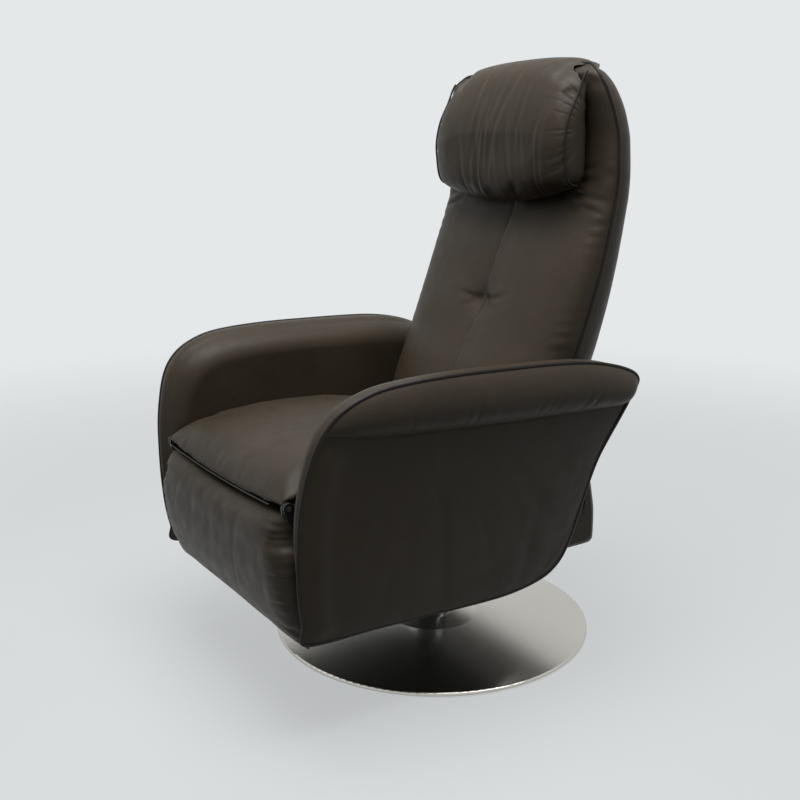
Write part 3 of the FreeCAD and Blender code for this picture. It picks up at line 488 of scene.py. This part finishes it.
def back_front():
    heights = np.r_[np.linspace(front_low, 1.03, 150), np.linspace(1.034, 1.0955, 26)]
    rows = [half_section(z, interp(z, BACK_Z, FRONT), 4.6, 2.6, 161) for z in heights]
    hem = []
    for share in (1, .75, .5, .25):             # the lower edge rolls under, back to the piping
        under = rows[0].copy()
        angle = share * math.pi / 2
        under[:, 1] += (interp(front_low, BACK_Z, PIPING) - under[:, 1]) * (1 - math.cos(angle))
        under[:, 2] -= front_roll * math.sin(angle)
        hem.append(under)
    P = np.array(hem + rows)
    X, Z = P[..., 0], P[..., 2]
    deep = centre_valley(X, Z)
    for side in (-1, 1):
        for angle, length, depth in ((8, .095, .0034), (-14, .07, .0024), (30, .05, .0016)):
            a = math.radians(angle)
            along = side * X * math.cos(a) + (Z - tuft_z) * math.sin(a)
            across = -side * X * math.sin(a) + (Z - tuft_z) * math.cos(a) - np.sign(angle) * .8 * along ** 2
            fade = step(length, length * .25, along) * step(.0, .02, along)
            deep += depth * crease(across, .0055) * fade
        # strain folds that run out from under the pillow's lower corners
        for z0, tilt, length, depth in ((.872, -.20, .07, .0034), (.858, -.32, .085, .0030),
                                        (.845, -.10, .05, .0018), (.888, .05, .05, .0026),
                                        (.905, .18, .045, .0020)):
            along = side * X - .150
            fade = step(0, .03, along) * step(length + .04, length * .4, along)
            deep += depth * crease(Z - z0 - tilt * along, .0048) * fade
    # the welt pulls short waves into the side
    edge = np.abs(X) / back_half_at(Z.ravel()).reshape(Z.shape)
    wave = np.sin(Z * 200 + 3 * np.sin(Z * 40)) * (.5 + .5 * np.sin(Z * 23 + 1))
    deep += .0013 * wave * step(.86, .98, edge) * step(1.0, .995, edge)
    P[..., 1] += deep
    return skin("back_front", P, hide, (0, -1, 0))


def back_rear():
    heights = np.r_[np.linspace(.352, 1.03, 120), np.linspace(1.034, 1.0955, 24)]
    rows = [half_section(z, interp(z, BACK_Z, REAR), 3.6, 2.5, 141) for z in heights]
    low = rows[0]
    floor_rows = []
    for share, drop in ((0.0, .007), (.6, .007), (.9, .007), (.97, .005)):
        ring = low.mean(0) + (low - low.mean(0)) * share
        ring[:, 2] = low[:, 2] - drop
        floor_rows.append(ring)
    P = np.array(floor_rows + rows)
    # the rear cover is drawn tight, with a faint hollow between the frame's rails
    P[..., 1] -= .003 * bell(P[..., 2] - .69, .14) * bell(P[..., 0], .12)
    return skin("back_rear", P, hide, (0, 1, 0))


def back_welt():
    heights = np.linspace(.36, 1.0935, 170)
    edge = np.stack([back_half_at(heights) + .0006, interp(heights, BACK_Z, PIPING), heights], 1)
    x, y, z = edge[-1]
    over = smooth_line([edge[-1], (x - .012, y + .0005, z + .0035), (x - .03, y + .001, z + .0048),
                        (.10, y + .001, z + .0058), (0, y + .001, z + .0062)], 60)
    right = np.vstack([edge[:-1], over])
    whole = np.vstack([right, (right * [-1, 1, 1])[::-1][1:]])
    return tube("back_welt", whole, .0032, welt_hide_with_painted_shade)


def back_seam():
    z = np.linspace(.43, .852, 160)
    y = interp(z, BACK_Z, FRONT) + centre_valley(0 * z, z) - .0009
    return stitches("back_seam", np.stack([0 * z, y, z], 1), thread)


# Pillow

pillow_half = .203
pillow_end = .022        # how far in from each end the pillow starts to close


def pillow_ring(share, count=150):
    """The pillow in side view at a share of its half width."""
    a = abs(share)
    inset = .020 * a ** 6
    drop = .020 * a ** 3
    sag = .036 * a ** 2.4
    top = 1.116 - drop
    under = 1.1005 - .010 * a ** 8
    rear = .262 - .028 * a ** 4
    ring = smooth_line([
        (.196, .866 + sag * .5), (.176 + inset * .3, .845 + sag), (.152 + inset * .6, .850 + sag * .95),
        (.136 + inset * .9, .878 + sag * .6), (.129 + inset, .922 + sag * .3), (.128 + inset, .965),
        (.138 + inset, 1.012 - drop * .4), (.158 + inset, 1.058 - drop * .7),
        (.180 + inset * .5, 1.093 - drop * .9), (.205 + inset * .2, 1.112 - drop), (.230, top),
        (rear - .006, top - .004), (rear, under), (.225, under), (.196, under - .004),
        (.188, 1.07), (.189, 1.04), (.196, .98), (.199, .92)], count, closed=True)
    turn = 1 - (1 - a) * pillow_half / pillow_end
    if turn > 0:
        k = math.sqrt(max(0, 1 - min(turn, 1) ** 2))
        rearward = step(.165, .225, ring[:, :1])
        centre = np.array([.20, ring[:, 1].mean()])
        ring = centre + (ring - centre) * (1 - (1 - k) * (.28 - .18 * rearward))
    return np.column_stack([np.full(count, share * pillow_half), ring])


def pillow():
    even = np.linspace(-1, 1, 121)
    shares = np.sin(even * math.pi / 2) * .35 + even * .65
    piece = closed_form("pillow", [pillow_ring(s) for s in shares], hide)
    plump(piece, .005, .006, (-pillow_half, .124, .84), (pillow_half, .266, 1.1195))
    P = points_of(piece)
    X, Y, Z = P.T
    rng = np.random.default_rng(4)
    deep = np.zeros(len(P))
    for _ in range(30):                         # soft upright folds, most of them near the middle
        x0, z0 = rng.normal(.005, .060), rng.uniform(.89, 1.06)
        length, lean = rng.uniform(.03, .085), rng.normal(0, .10)
        depth, width = rng.uniform(.0006, .0019), rng.uniform(.0035, .0075)
        deep += depth * crease(X - x0 - lean * (Z - z0), width) * bell(Z - z0, length)
    end = pillow_half - np.abs(X)
    angle = np.arctan2(Z - .985, .20 - Y)
    for k in range(44):                         # puckers run in from the end seams
        a0, width = rng.uniform(-1.9, 2.2), rng.uniform(.018, .04)
        length, depth = rng.uniform(.012, .040), rng.uniform(.0010, .0030)
        side = np.sign(X) == (1 if k % 2 else -1)
        deep += depth * bell(angle - a0, width) * np.exp(-(end / length) ** 1.5) * side
    P[:, 1] += deep * step(.192, .175, Y)
    set_points(piece, P)
    return piece


def pillow_welt(side):
    """The end seam's welt, over the front and top of the pillow."""
    ring = pillow_ring(side * .955, 240)
    out = ring[:, 1:] - ring[:, 1:].mean(0)
    ring[:, 1:] += .0022 * out / np.linalg.norm(out, axis=1)[:, None]
    run = ring[8:110]
    name = "pillow_welt_left" if side > 0 else "pillow_welt_right"
    return tube(name, run, .0020, welt_hide_with_painted_shade, 8)


# Seat cushion

seat_half = .2408
SEAT_Y = [-.466, -.463, -.456, -.440, -.405, -.350, -.270, -.170, -.080, -.014]
SEAT_SIDE = [.4010, .408, .418, .429, .441, .450, .454, .449, .437, .430]
SEAT_CROWN = [.3925, .402, .416, .433, .450, .463, .470, .470, .458, .448]
seat_low = .3462


def seat_lip(x):
    """Height of the front edge seam, which rises to the sides."""
    return .3866 + .0375 * (x / .4) ** 2


def seat_ring(y, count=190):
    t = np.linspace(0, 2 * np.pi, 720, endpoint=False)
    x = seat_half * np.sign(np.cos(t)) * np.abs(np.cos(t)) ** (2 / 9.0)
    v = np.sign(np.sin(t)) * np.abs(np.sin(t)) ** (2 / 2.8)
    side, crown = interp(y, SEAT_Y, SEAT_SIDE), interp(y, SEAT_Y, SEAT_CROWN)
    top = crown + (side - crown) * np.abs(x / seat_half) ** 2.3
    low = seat_low + (seat_lip(x) - seat_low) * step(-.392, -.400, y)
    z = (top + low) / 2 + v * (top - low) / 2
    ring = spread(np.stack([x, z], 1), count, closed=True)
    return np.column_stack([ring[:, 0], np.full(count, y), ring[:, 1]])


def seat_pad():
    ys = np.r_[-.4665, -.466, -.465, np.linspace(-.463, -.40, 26),
               np.linspace(-.396, -.018, 74), -.015, -.014]
    piece = closed_form("seat_pad", [seat_ring(y) for y in ys], hide)
    plump(piece, .006, .007, (-.2440, -.4685, .3458), (.2440, -.010, .480))
    P = points_of(piece)
    X, Y, Z = P.T
    rng = np.random.default_rng(11)
    sink = np.zeros(len(P))
    for _ in range(26):                         # faint sitting folds
        x0, y0, a = rng.uniform(-.18, .18), rng.uniform(-.42, -.12), rng.uniform(-.5, .5)
        length, width, depth = rng.uniform(.03, .07), rng.uniform(.006, .012), rng.uniform(.0004, .0012)
        along = (X - x0) * math.cos(a) + (Y - y0) * math.sin(a)
        across = -(X - x0) * math.sin(a) + (Y - y0) * math.cos(a)
        sink += depth * crease(across, width) * bell(along, length)
    for _ in range(34):                         # puckers above the front edge seam
        x0, length = rng.uniform(-.23, .23), rng.uniform(.010, .024)
        width, depth = rng.uniform(.003, .006), rng.uniform(.0004, .0013)
        sink += depth * bell(X - x0, width) * bell(Y + .466, length)
    P[:, 2] -= sink * step(.36, .39, Z)
    set_points(piece, P)
    return piece


def seat_seam():
    # a thin bead along the front seam in the darker welt hide, whose colour paints the seam's shadow line
    x = np.linspace(-.205, .205, 160)
    z = seat_lip(x) + .0085 - .004 * (x / .205) ** 2
    return tube("seat_seam_welt", np.stack([x, np.full(160, -.4646), z], 1), .0013, welt_hide_with_painted_shade, 8)


# Leg pad

leg_half = .262
leg_rear = -.4216


def leg_half_at(z):
    """The pad is narrower above, where the arms' rolled fronts close in."""
    return leg_half - .0195 * step(.322, .350, z)


def leg_ring(share, count=150):
    a = abs(share)
    top = .3825 + .0105 * a ** 1.8
    inset = .014 * a ** 9
    ring = smooth_line([
        (leg_rear, top - .010), (leg_rear - .008, top - .001), (-.443, top + .0015),
        (-.456 + inset, top - .001), (-.4665 + inset, top - .013), (-.473 + inset, top - .036),
        (-.4762 + inset, .322), (-.474 + inset, .280), (-.466 + inset, .235), (-.453 + inset, .198),
        (-.440 + inset * .5, .172), (-.432, .1605), (-.4255, .1585), (leg_rear, .163),
        (leg_rear, .180), (leg_rear, .26), (leg_rear, .34)], count, closed=True)
    turn = (a - .94) / .06
    if turn > 0:
        k = math.sqrt(max(0, 1 - .8 * min(turn, 1) ** 2))
        ring[:, 0] = leg_rear + (ring[:, 0] - leg_rear) * k
        ring[:, 1] = .272 + (ring[:, 1] - .272) * (.965 + .035 * k)
    return np.column_stack([share * leg_half_at(ring[:, 1]), ring])


def leg_pad():
    even = np.linspace(-1, 1, 131)
    shares = np.sin(even * math.pi / 2) * .4 + even * .6
    piece = closed_form("leg_pad", [leg_ring(s) for s in shares], hide)
    plump(piece, .005, .005, (-leg_half, -.4795, .157), (leg_half, -.4212, .3955))
    P = points_of(piece)
    X, Y, Z = P.T
    end = np.maximum(leg_half_at(Z) - np.abs(X), 0)
    rng = np.random.default_rng(7)
    deep = np.zeros(len(P))
    for k in range(64):                         # gathers at the two end seams
        z0, lean = rng.uniform(.17, .375), rng.normal(0, .25)
        width, length, depth = rng.uniform(.0028, .0055), rng.uniform(.014, .040), rng.uniform(.0010, .0030)
        side = np.sign(X) == (1 if k % 2 else -1)
        fold = crease(Z - z0 - lean * end, width)
        deep += depth * fold * np.exp(-(end / length) ** 1.4) * side
    for _ in range(18):                         # long soft folds below the seat seam
        x0, z0, lean = rng.uniform(-.22, .2), rng.uniform(.24, .36), rng.normal(0, .3)
        length, width, depth = rng.uniform(.03, .07), rng.uniform(.006, .014), rng.uniform(.0002, .0006)
        deep += depth * crease(X - x0 - lean * (Z - z0), width) * bell(Z - z0, length)
    P[:, 1] += deep * step(-.428, -.440, Y)
    set_points(piece, P)
    return piece


# Arms: the welt round the left arm as x, y, z, up the front, over the top, down the rear and back below

ARM_OVER = [
    (.274, -.438, .182), (.276, -.447, .215), (.279, -.4545, .260), (.283, -.458, .323),
    (.288, -.457, .385), (.294, -.4535, .430), (.300, -.446, .472), (.307, -.435, .510),
    (.312, -.420, .538), (.316, -.398, .560), (.319, -.368, .5765), (.322, -.328, .5885),
    (.325, -.270, .5945), (.328, -.190, .597), (.331, -.100, .596), (.334, -.010, .594),
    (.337, .060, .5905), (.339, .115, .583), (.341, .160, .572), (.342, .190, .560),
    (.3415, .203, .548), (.339, .204, .536), (.336, .199, .524)]
ARM_REAR = [
    (.332, .186, .497), (.326, .172, .468), (.318, .157, .435), (.311, .143, .402),
    (.304, .133, .365), (.297, .125, .325), (.290, .117, .285), (.284, .107, .245),
    (.280, .092, .212), (.277, .070, .190)]
ARM_LOW = [
    (.276, .045, .179), (.275, .000, .170), (.275, -.060, .167), (.2745, -.161, .1705),
    (.274, -.300, .177)]
# the seam between the rolled band and the outer side, from front to rear
ARM_SEAM = [
    (.309, -.431, .519), (.3055, -.4270, .5238), (.306, -.415, .5245), (.3085, -.391, .5205),
    (.311, -.350, .5150), (.3135, -.302, .5115), (.318, -.206, .5075), (.322, -.104, .504),
    (.327, .029, .5015), (.331, .130, .501), (.333, .189, .5035)]
arm_loop = smooth_line(ARM_OVER + ARM_REAR + ARM_LOW, 620, closed=True)
arm_face = .2465         # inner face of the pad beside the seat
board_face = .2525       # just inside the plywood side
leg_clear = .2642        # just outside the leg pad's ends


def on_loop(point):
    """Index of the welt point nearest to a point."""
    return int(np.argmin(np.linalg.norm(arm_loop - np.array(point), axis=1)))


front_end = on_loop(ARM_SEAM[0])
rear_end = on_loop(ARM_SEAM[-1])
heel = on_loop(ARM_LOW[0])
arm_seam = smooth_line([arm_loop[front_end]] + ARM_SEAM[1:-1] + [arm_loop[rear_end]], 200)


def arm_side():
    """Padded outer side below the seam, stretched between its four edges."""
    across, up = 180, 120
    low = spread(np.vstack([arm_loop[heel:], arm_loop[:1]])[::-1], across)
    left = spread(arm_loop[:front_end + 1], up)
    right = spread(arm_loop[rear_end:heel + 1][::-1], up)
    top = spread(arm_seam, across)
    u = np.linspace(0, 1, across)[:, None, None]
    v = np.linspace(0, 1, up)[None, :, None]
    corners = ((1 - u) * (1 - v) * low[0] + u * (1 - v) * low[-1] + (1 - u) * v * top[0] + u * v * top[-1])
    P = (1 - v) * low[:, None] + v * top[:, None] + (1 - u) * left[None] + u * right[None] - corners
    a, b = u[..., 0], v[..., 0]
    P[..., 0] += .014 * np.clip(4 * a * (1 - a), 0, 1) ** .5 * np.clip(np.sin(np.pi * b ** .9), 0, 1) ** .6
    # a soft column stands beside the front welt
    back_from = np.abs(P[..., 1] - left[None, :, 1])
    P[..., 0] += .005 * bell(back_from - .030, .02) * step(0, .1, b) * step(1, .9, b)
    rng = np.random.default_rng(21)
    for _ in range(14):                         # broad faint hollows in the stretched hide
        y0, z0, lean = rng.uniform(-.40, .10), rng.uniform(.22, .46), rng.normal(0, .5)
        length, width, depth = rng.uniform(.06, .14), rng.uniform(.010, .025), rng.uniform(.0003, .0010)
        fold = crease(P[..., 1] - y0 - lean * (P[..., 2] - z0), width)
        P[..., 0] -= depth * fold * bell(P[..., 2] - z0, length)
    return skin("arm_side_left", P, hide, (1, 0, 0))


def arm_band():
    """Rolled band between the seam and the welt, running out to a point at both ends."""
    across, up = 220, 40
    top = spread(arm_loop[front_end:rear_end + 1], across)
    low = spread(arm_seam, across)
    rise = np.linspace(0, 1, up)[None, :]
    P = low[:, None] + (top - low)[:, None] * rise[..., None]
    wide = np.linalg.norm(top - low, axis=1)[:, None]
    roll = np.sin(np.pi * rise ** .86) ** .8
    P[..., 0] += .30 * wide * roll
    P[..., 2] -= .10 * wide * np.sin(np.pi * rise) * (1 - rise)
    u = np.linspace(0, 1, across)[:, None]
    rng = np.random.default_rng(5)
    for _ in range(22):                         # short folds drawn up from the seam
        u0, width, depth = rng.uniform(.02, .95), rng.uniform(.004, .010), rng.uniform(.0004, .0014)
        P[..., 0] -= depth * bell(u - u0, width) * step(.75, .1, rise) * roll
    return skin("arm_band_left", P, hide, (1, 0, 0))


def arm_inner(name, lever_room):
    """Inner pad: rolls in from the welt all round, then covers the face beside the seat."""
    L = arm_loop
    count = len(L)
    along = np.roll(L, -1, 0)[:, 1:] - np.roll(L, 1, 0)[:, 1:]
    along /= np.linalg.norm(along, axis=1)[:, None]
    inward = np.stack([along[:, 1], -along[:, 0]], 1)
    over = np.arange(count) <= rear_end
    x, y, z = L.T
    padded = np.where(over, step(.30, .37, z) * step(.200, .120, y), 0)
    fronted = np.where(over & (y < -.3), 1 - step(.30, .37, z), 0) + np.where(~over, step(-.36, -.43, y), 0)
    kernel = np.ones(15) / 15
    padded, fronted = (np.convolve(np.r_[w[-7:], w, w[:7]], kernel, "valid") for w in (padded, fronted))
    deep = .010 + .042 * padded + .003 * fronted
    face = board_face + (arm_face - board_face) * padded + (leg_clear - board_face) * fronted
    rows = []
    for a in np.linspace(0, math.pi / 2, 30):
        lift = .0040 * math.sin(min(1, a / .5) * math.pi) * padded
        s = deep * (1 - math.cos(a)) - lift
        rows.append(np.column_stack([x + (face - x) * math.sin(a) ** .9, L[:, 1:] + inward * s[:, None]]))
    edge = rows[-1][:, 1:]
    middle = np.column_stack([np.clip(edge[:, 0], -.395, .105), np.full(count, .362)])
    covered = (edge[:, 1:] > .362) & (padded[:, None] > .3)
    target = np.where(covered, middle, edge + inward * .034)
    for w in np.linspace(0, 1, 22)[1:]:
        turned = face + (board_face - face) * fronted * step(.75, .95, w)
        rows.append(np.column_stack([turned, edge + (target - edge) * w]))
    P = np.array(rows)
    if lever_room:                              # for the release lever and the fingers behind it
        Y, Z = P[..., 1], P[..., 2]
        inside = step(-.235, -.222, Y) * step(-.075, -.09, Y) * step(.50, .488, Z)
        P[..., 0] += .0045 * inside * step(.262, .255, P[..., 0])
    return skin(name, P, hide, (-1, 0, 0), wrap_columns=True)


def rear_box():
    """Upholstered back wall of the seat box with its two returns."""
    low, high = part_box("rear_cover")
    half, rear, z0, z1 = high[0], high[1], low[2], high[2]
    profile = smooth_line([
        (.135, z0), (.19, z0), (rear - .016, z0), (rear - .004, z0 + .004), (rear, z0 + .016),
        (rear - .001, z0 + .07), (rear - .007, z1 - .03), (rear - .014, z1 - .001),
        (rear - .019, z1 + .001), (rear - .024, z1 - .006), (rear - .026, z1 - .03)], 90)
    columns = []
    for share in np.linspace(-1, 1, 101):
        turn = max(0, (abs(share) * half - (half - .014)) / .014)
        k = 1 - math.sqrt(max(0, 1 - turn * turn))
        line = profile.copy()
        line[:, 0] -= k * .012 * step(.17, rear, line[:, 0])
        line[:, 1] += k * .010 * step(z0 + .03, z0, line[:, 1])
        columns.append(np.column_stack([np.full(90, share * half), line]))
    wall = skin("rear_box", np.array(columns), hide, (0, 1, 0))
    for side, name in ((1, "rear_box_end_left"), (-1, "rear_box_end_right")):
        ring = np.vstack([columns[0][:, 1:], [rear - .030, .290], [rear - .034, .2825], [.134, .2825]])
        middle = ring.mean(0)
        rings = [np.column_stack([np.full(len(ring), side * half), middle + (ring - middle) * share])
                 for share in (1, .985, .9, .6, .02)]
        end = skin(name, np.array(rings), hide, (side, 0, 0), wrap_columns=True)
        end.parent = wall
    return wall


# Attach

def attach(piece, body, stands_for=()):
    """Rides the piece on its body and hides the nodes that it stands for."""
    if body == "back_to_head":
        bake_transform(piece)
    else:
        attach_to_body(piece, body)
    if stands_for:
        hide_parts(*stands_for)


attach(back_front(), "back_to_head", ["back_cushion", "head_cushion"])
attach(back_rear(), "back_to_head", ["back_shell", "head_shell"])
attach(back_welt(), "back_to_head")
attach(back_seam(), "back_to_head")
attach(pillow(), "head", ["head_pillow"])
attach(pillow_welt(1), "head")
attach(pillow_welt(-1), "head")
attach(seat_pad(), "seat", ["seat_cushion"])
attach(seat_seam(), "seat")
attach(leg_pad(), "footrest", ["footrest_pad"])
attach(rear_box(), "seat", ["rear_cover"])

# the right arm mirrors the left one, without the recess for the lever
plain_inner = arm_inner("arm_inner_plain", False)
right_inner = mirror_piece(plain_inner, "arm_inner_right")
bpy.data.objects.remove(plain_inner)
left_arm = (arm_side(), arm_band(), arm_inner("arm_inner_left", True),
            tube("arm_welt_left", arm_loop + [.0008, 0, 0], .0030, welt_hide_with_painted_shade, closed=True))
right_arm = (mirror_piece(left_arm[0], "arm_side_right"), mirror_piece(left_arm[1], "arm_band_right"),
             right_inner, mirror_piece(left_arm[3], "arm_welt_right"))
for side, (outer, band, inner, welt) in (("left", left_arm), ("right", right_arm)):
    attach(outer, "seat", ["arm_outer_" + side])
    attach(band, "seat", ["arm_band_" + side])
    attach(inner, "seat", ["arm_pad_" + side])
    attach(welt, "seat")


# Floor, light and camera

pale = linear("#e5e8e9")


def shown_rays(tree):
    """1 for rays from the camera, a reflection or glass, 0 for the light that falls on things."""
    path = add(tree, "ShaderNodeLightPath")
    mirrored = add(tree, "ShaderNodeMath", {"operation": "MAXIMUM"},
                   {0: path.outputs["Is Glossy Ray"], 1: path.outputs["Is Transmission Ray"]})
    return add(tree, "ShaderNodeMath", {"operation": "MAXIMUM"},
               {0: path.outputs["Is Camera Ray"], 1: mirrored.outputs["Value"]}).outputs["Value"]


def pale_floor():
    """A painted floor that fades into the pale backdrop and throws little light back at the chair."""
    material, tree, shader, place = start_material("painted_floor", {
        "Roughness": 0.6, "Specular IOR Level": 0.2})
    cloud = add(tree, "ShaderNodeTexNoise", {"Scale": per_mm(900), "Detail": 3}, {"Vector": place})
    painted = tint(tree, cloud.outputs["Fac"], "#c6cacc", "#ced2d4")
    seen = shown_rays(tree)
    paint = add(tree, "ShaderNodeMix", {"data_type": "RGBA"}, {0: seen, 7: painted})
    paint.inputs[6].default_value = linear("#3a3b3c")
    tree.links.new(paint.outputs[2], shader.inputs["Base Color"])
    away = add(tree, "ShaderNodeVectorMath", {"operation": "LENGTH"}, {0: place})
    ring = {"interpolation_type": "SMOOTHSTEP", "From Min": 0.9, "From Max": 3.6, "To Min": 0.60}
    fade = add(tree, "ShaderNodeMapRange", ring, {"Value": away.outputs["Value"]})
    glow = add(tree, "ShaderNodeEmission", {"Color": pale}, {"Strength": seen})
    mix = add(tree, "ShaderNodeMixShader", links={0: fade.outputs["Result"], 1: shader.outputs["BSDF"],
                                                  2: glow.outputs["Emission"]})
    tree.links.new(mix.outputs["Shader"], tree.nodes["Material Output"].inputs["Surface"])
    angle = np.linspace(0, 2 * np.pi, 96, endpoint=False)
    rings = [np.stack([r * np.cos(angle), r * np.sin(angle), 0 * angle], 1) for r in (.01, 2.0, 6.0, 30.0)]
    skin("floor", np.array(rings), material, (0, 0, 1), wrap_columns=True)


def soft_lamp(name, place, aim, size, power):
    lamp = bpy.data.lights.new(name, "AREA")
    lamp.shape = "RECTANGLE"
    lamp.size, lamp.size_y = size
    lamp.energy = power
    holder = bpy.data.objects.new(name, lamp)
    bpy.context.scene.collection.objects.link(holder)
    holder.location = place
    holder.rotation_euler = (Vector(aim) - Vector(place)).to_track_quat("-Z", "Y").to_euler()


def studio_world():
    """Pale to the camera, in metal and in glass; as light it is bright above and dim towards the right."""
    world = bpy.data.worlds.new("studio")
    bpy.context.scene.world = world
    world.use_nodes = True
    tree = world.node_tree
    seen = tree.nodes["Background"]
    seen.inputs["Color"].default_value = pale
    toward = add(tree, "ShaderNodeTexCoord").outputs["Generated"]
    facing = add(tree, "ShaderNodeVectorMath", {"operation": "DOT_PRODUCT", 1: (-.40, -.25, .88)},
                 {0: toward})
    ramp = {"From Min": -.1, "From Max": 1.0, "To Min": .01, "To Max": .32}
    level = add(tree, "ShaderNodeMapRange", ramp, {"Value": facing.outputs["Value"]})
    light = add(tree, "ShaderNodeBackground", {"Color": linear("#f6f4ef")},
                {"Strength": level.outputs["Result"]})
    mix = add(tree, "ShaderNodeMixShader", links={0: shown_rays(tree), 1: light.outputs["Background"],
                                                  2: seen.outputs["Background"]})
    tree.links.new(mix.outputs["Shader"], tree.nodes["World Output"].inputs["Surface"])


def photo_camera():
    """The photograph's angle: right of the chair's front, a little below its top, looking down."""
    turn, reach, height = math.radians(54.0), 1.893, .914
    yaw, pitch = turn + math.radians(1.978), math.radians(13.284)
    lens = bpy.data.cameras.new("view")
    lens.sensor_width = 36
    lens.lens = 984.9 / 800 * 36
    camera = bpy.data.objects.new("view", lens)
    bpy.context.scene.collection.objects.link(camera)
    camera.location = (math.sin(turn) * reach, -math.cos(turn) * reach, height)
    look = Vector((-math.sin(yaw) * math.cos(pitch), math.cos(yaw) * math.cos(pitch), -math.sin(pitch)))
    camera.rotation_euler = look.to_track_quat("-Z", "Y").to_euler()
    bpy.context.scene.camera = camera


pale_floor()
studio_world()
soft_lamp("top_soft", (.35, -.30, 2.9), (0, -.1, .5), (2.2, 1.8), 76)
soft_lamp("front_soft", (-1.9, -2.6, 2.1), (0, 0, .6), (1.5, 1.5), 5)
photo_camera()
bpy.context.scene.view_settings.view_transform = "Standard"
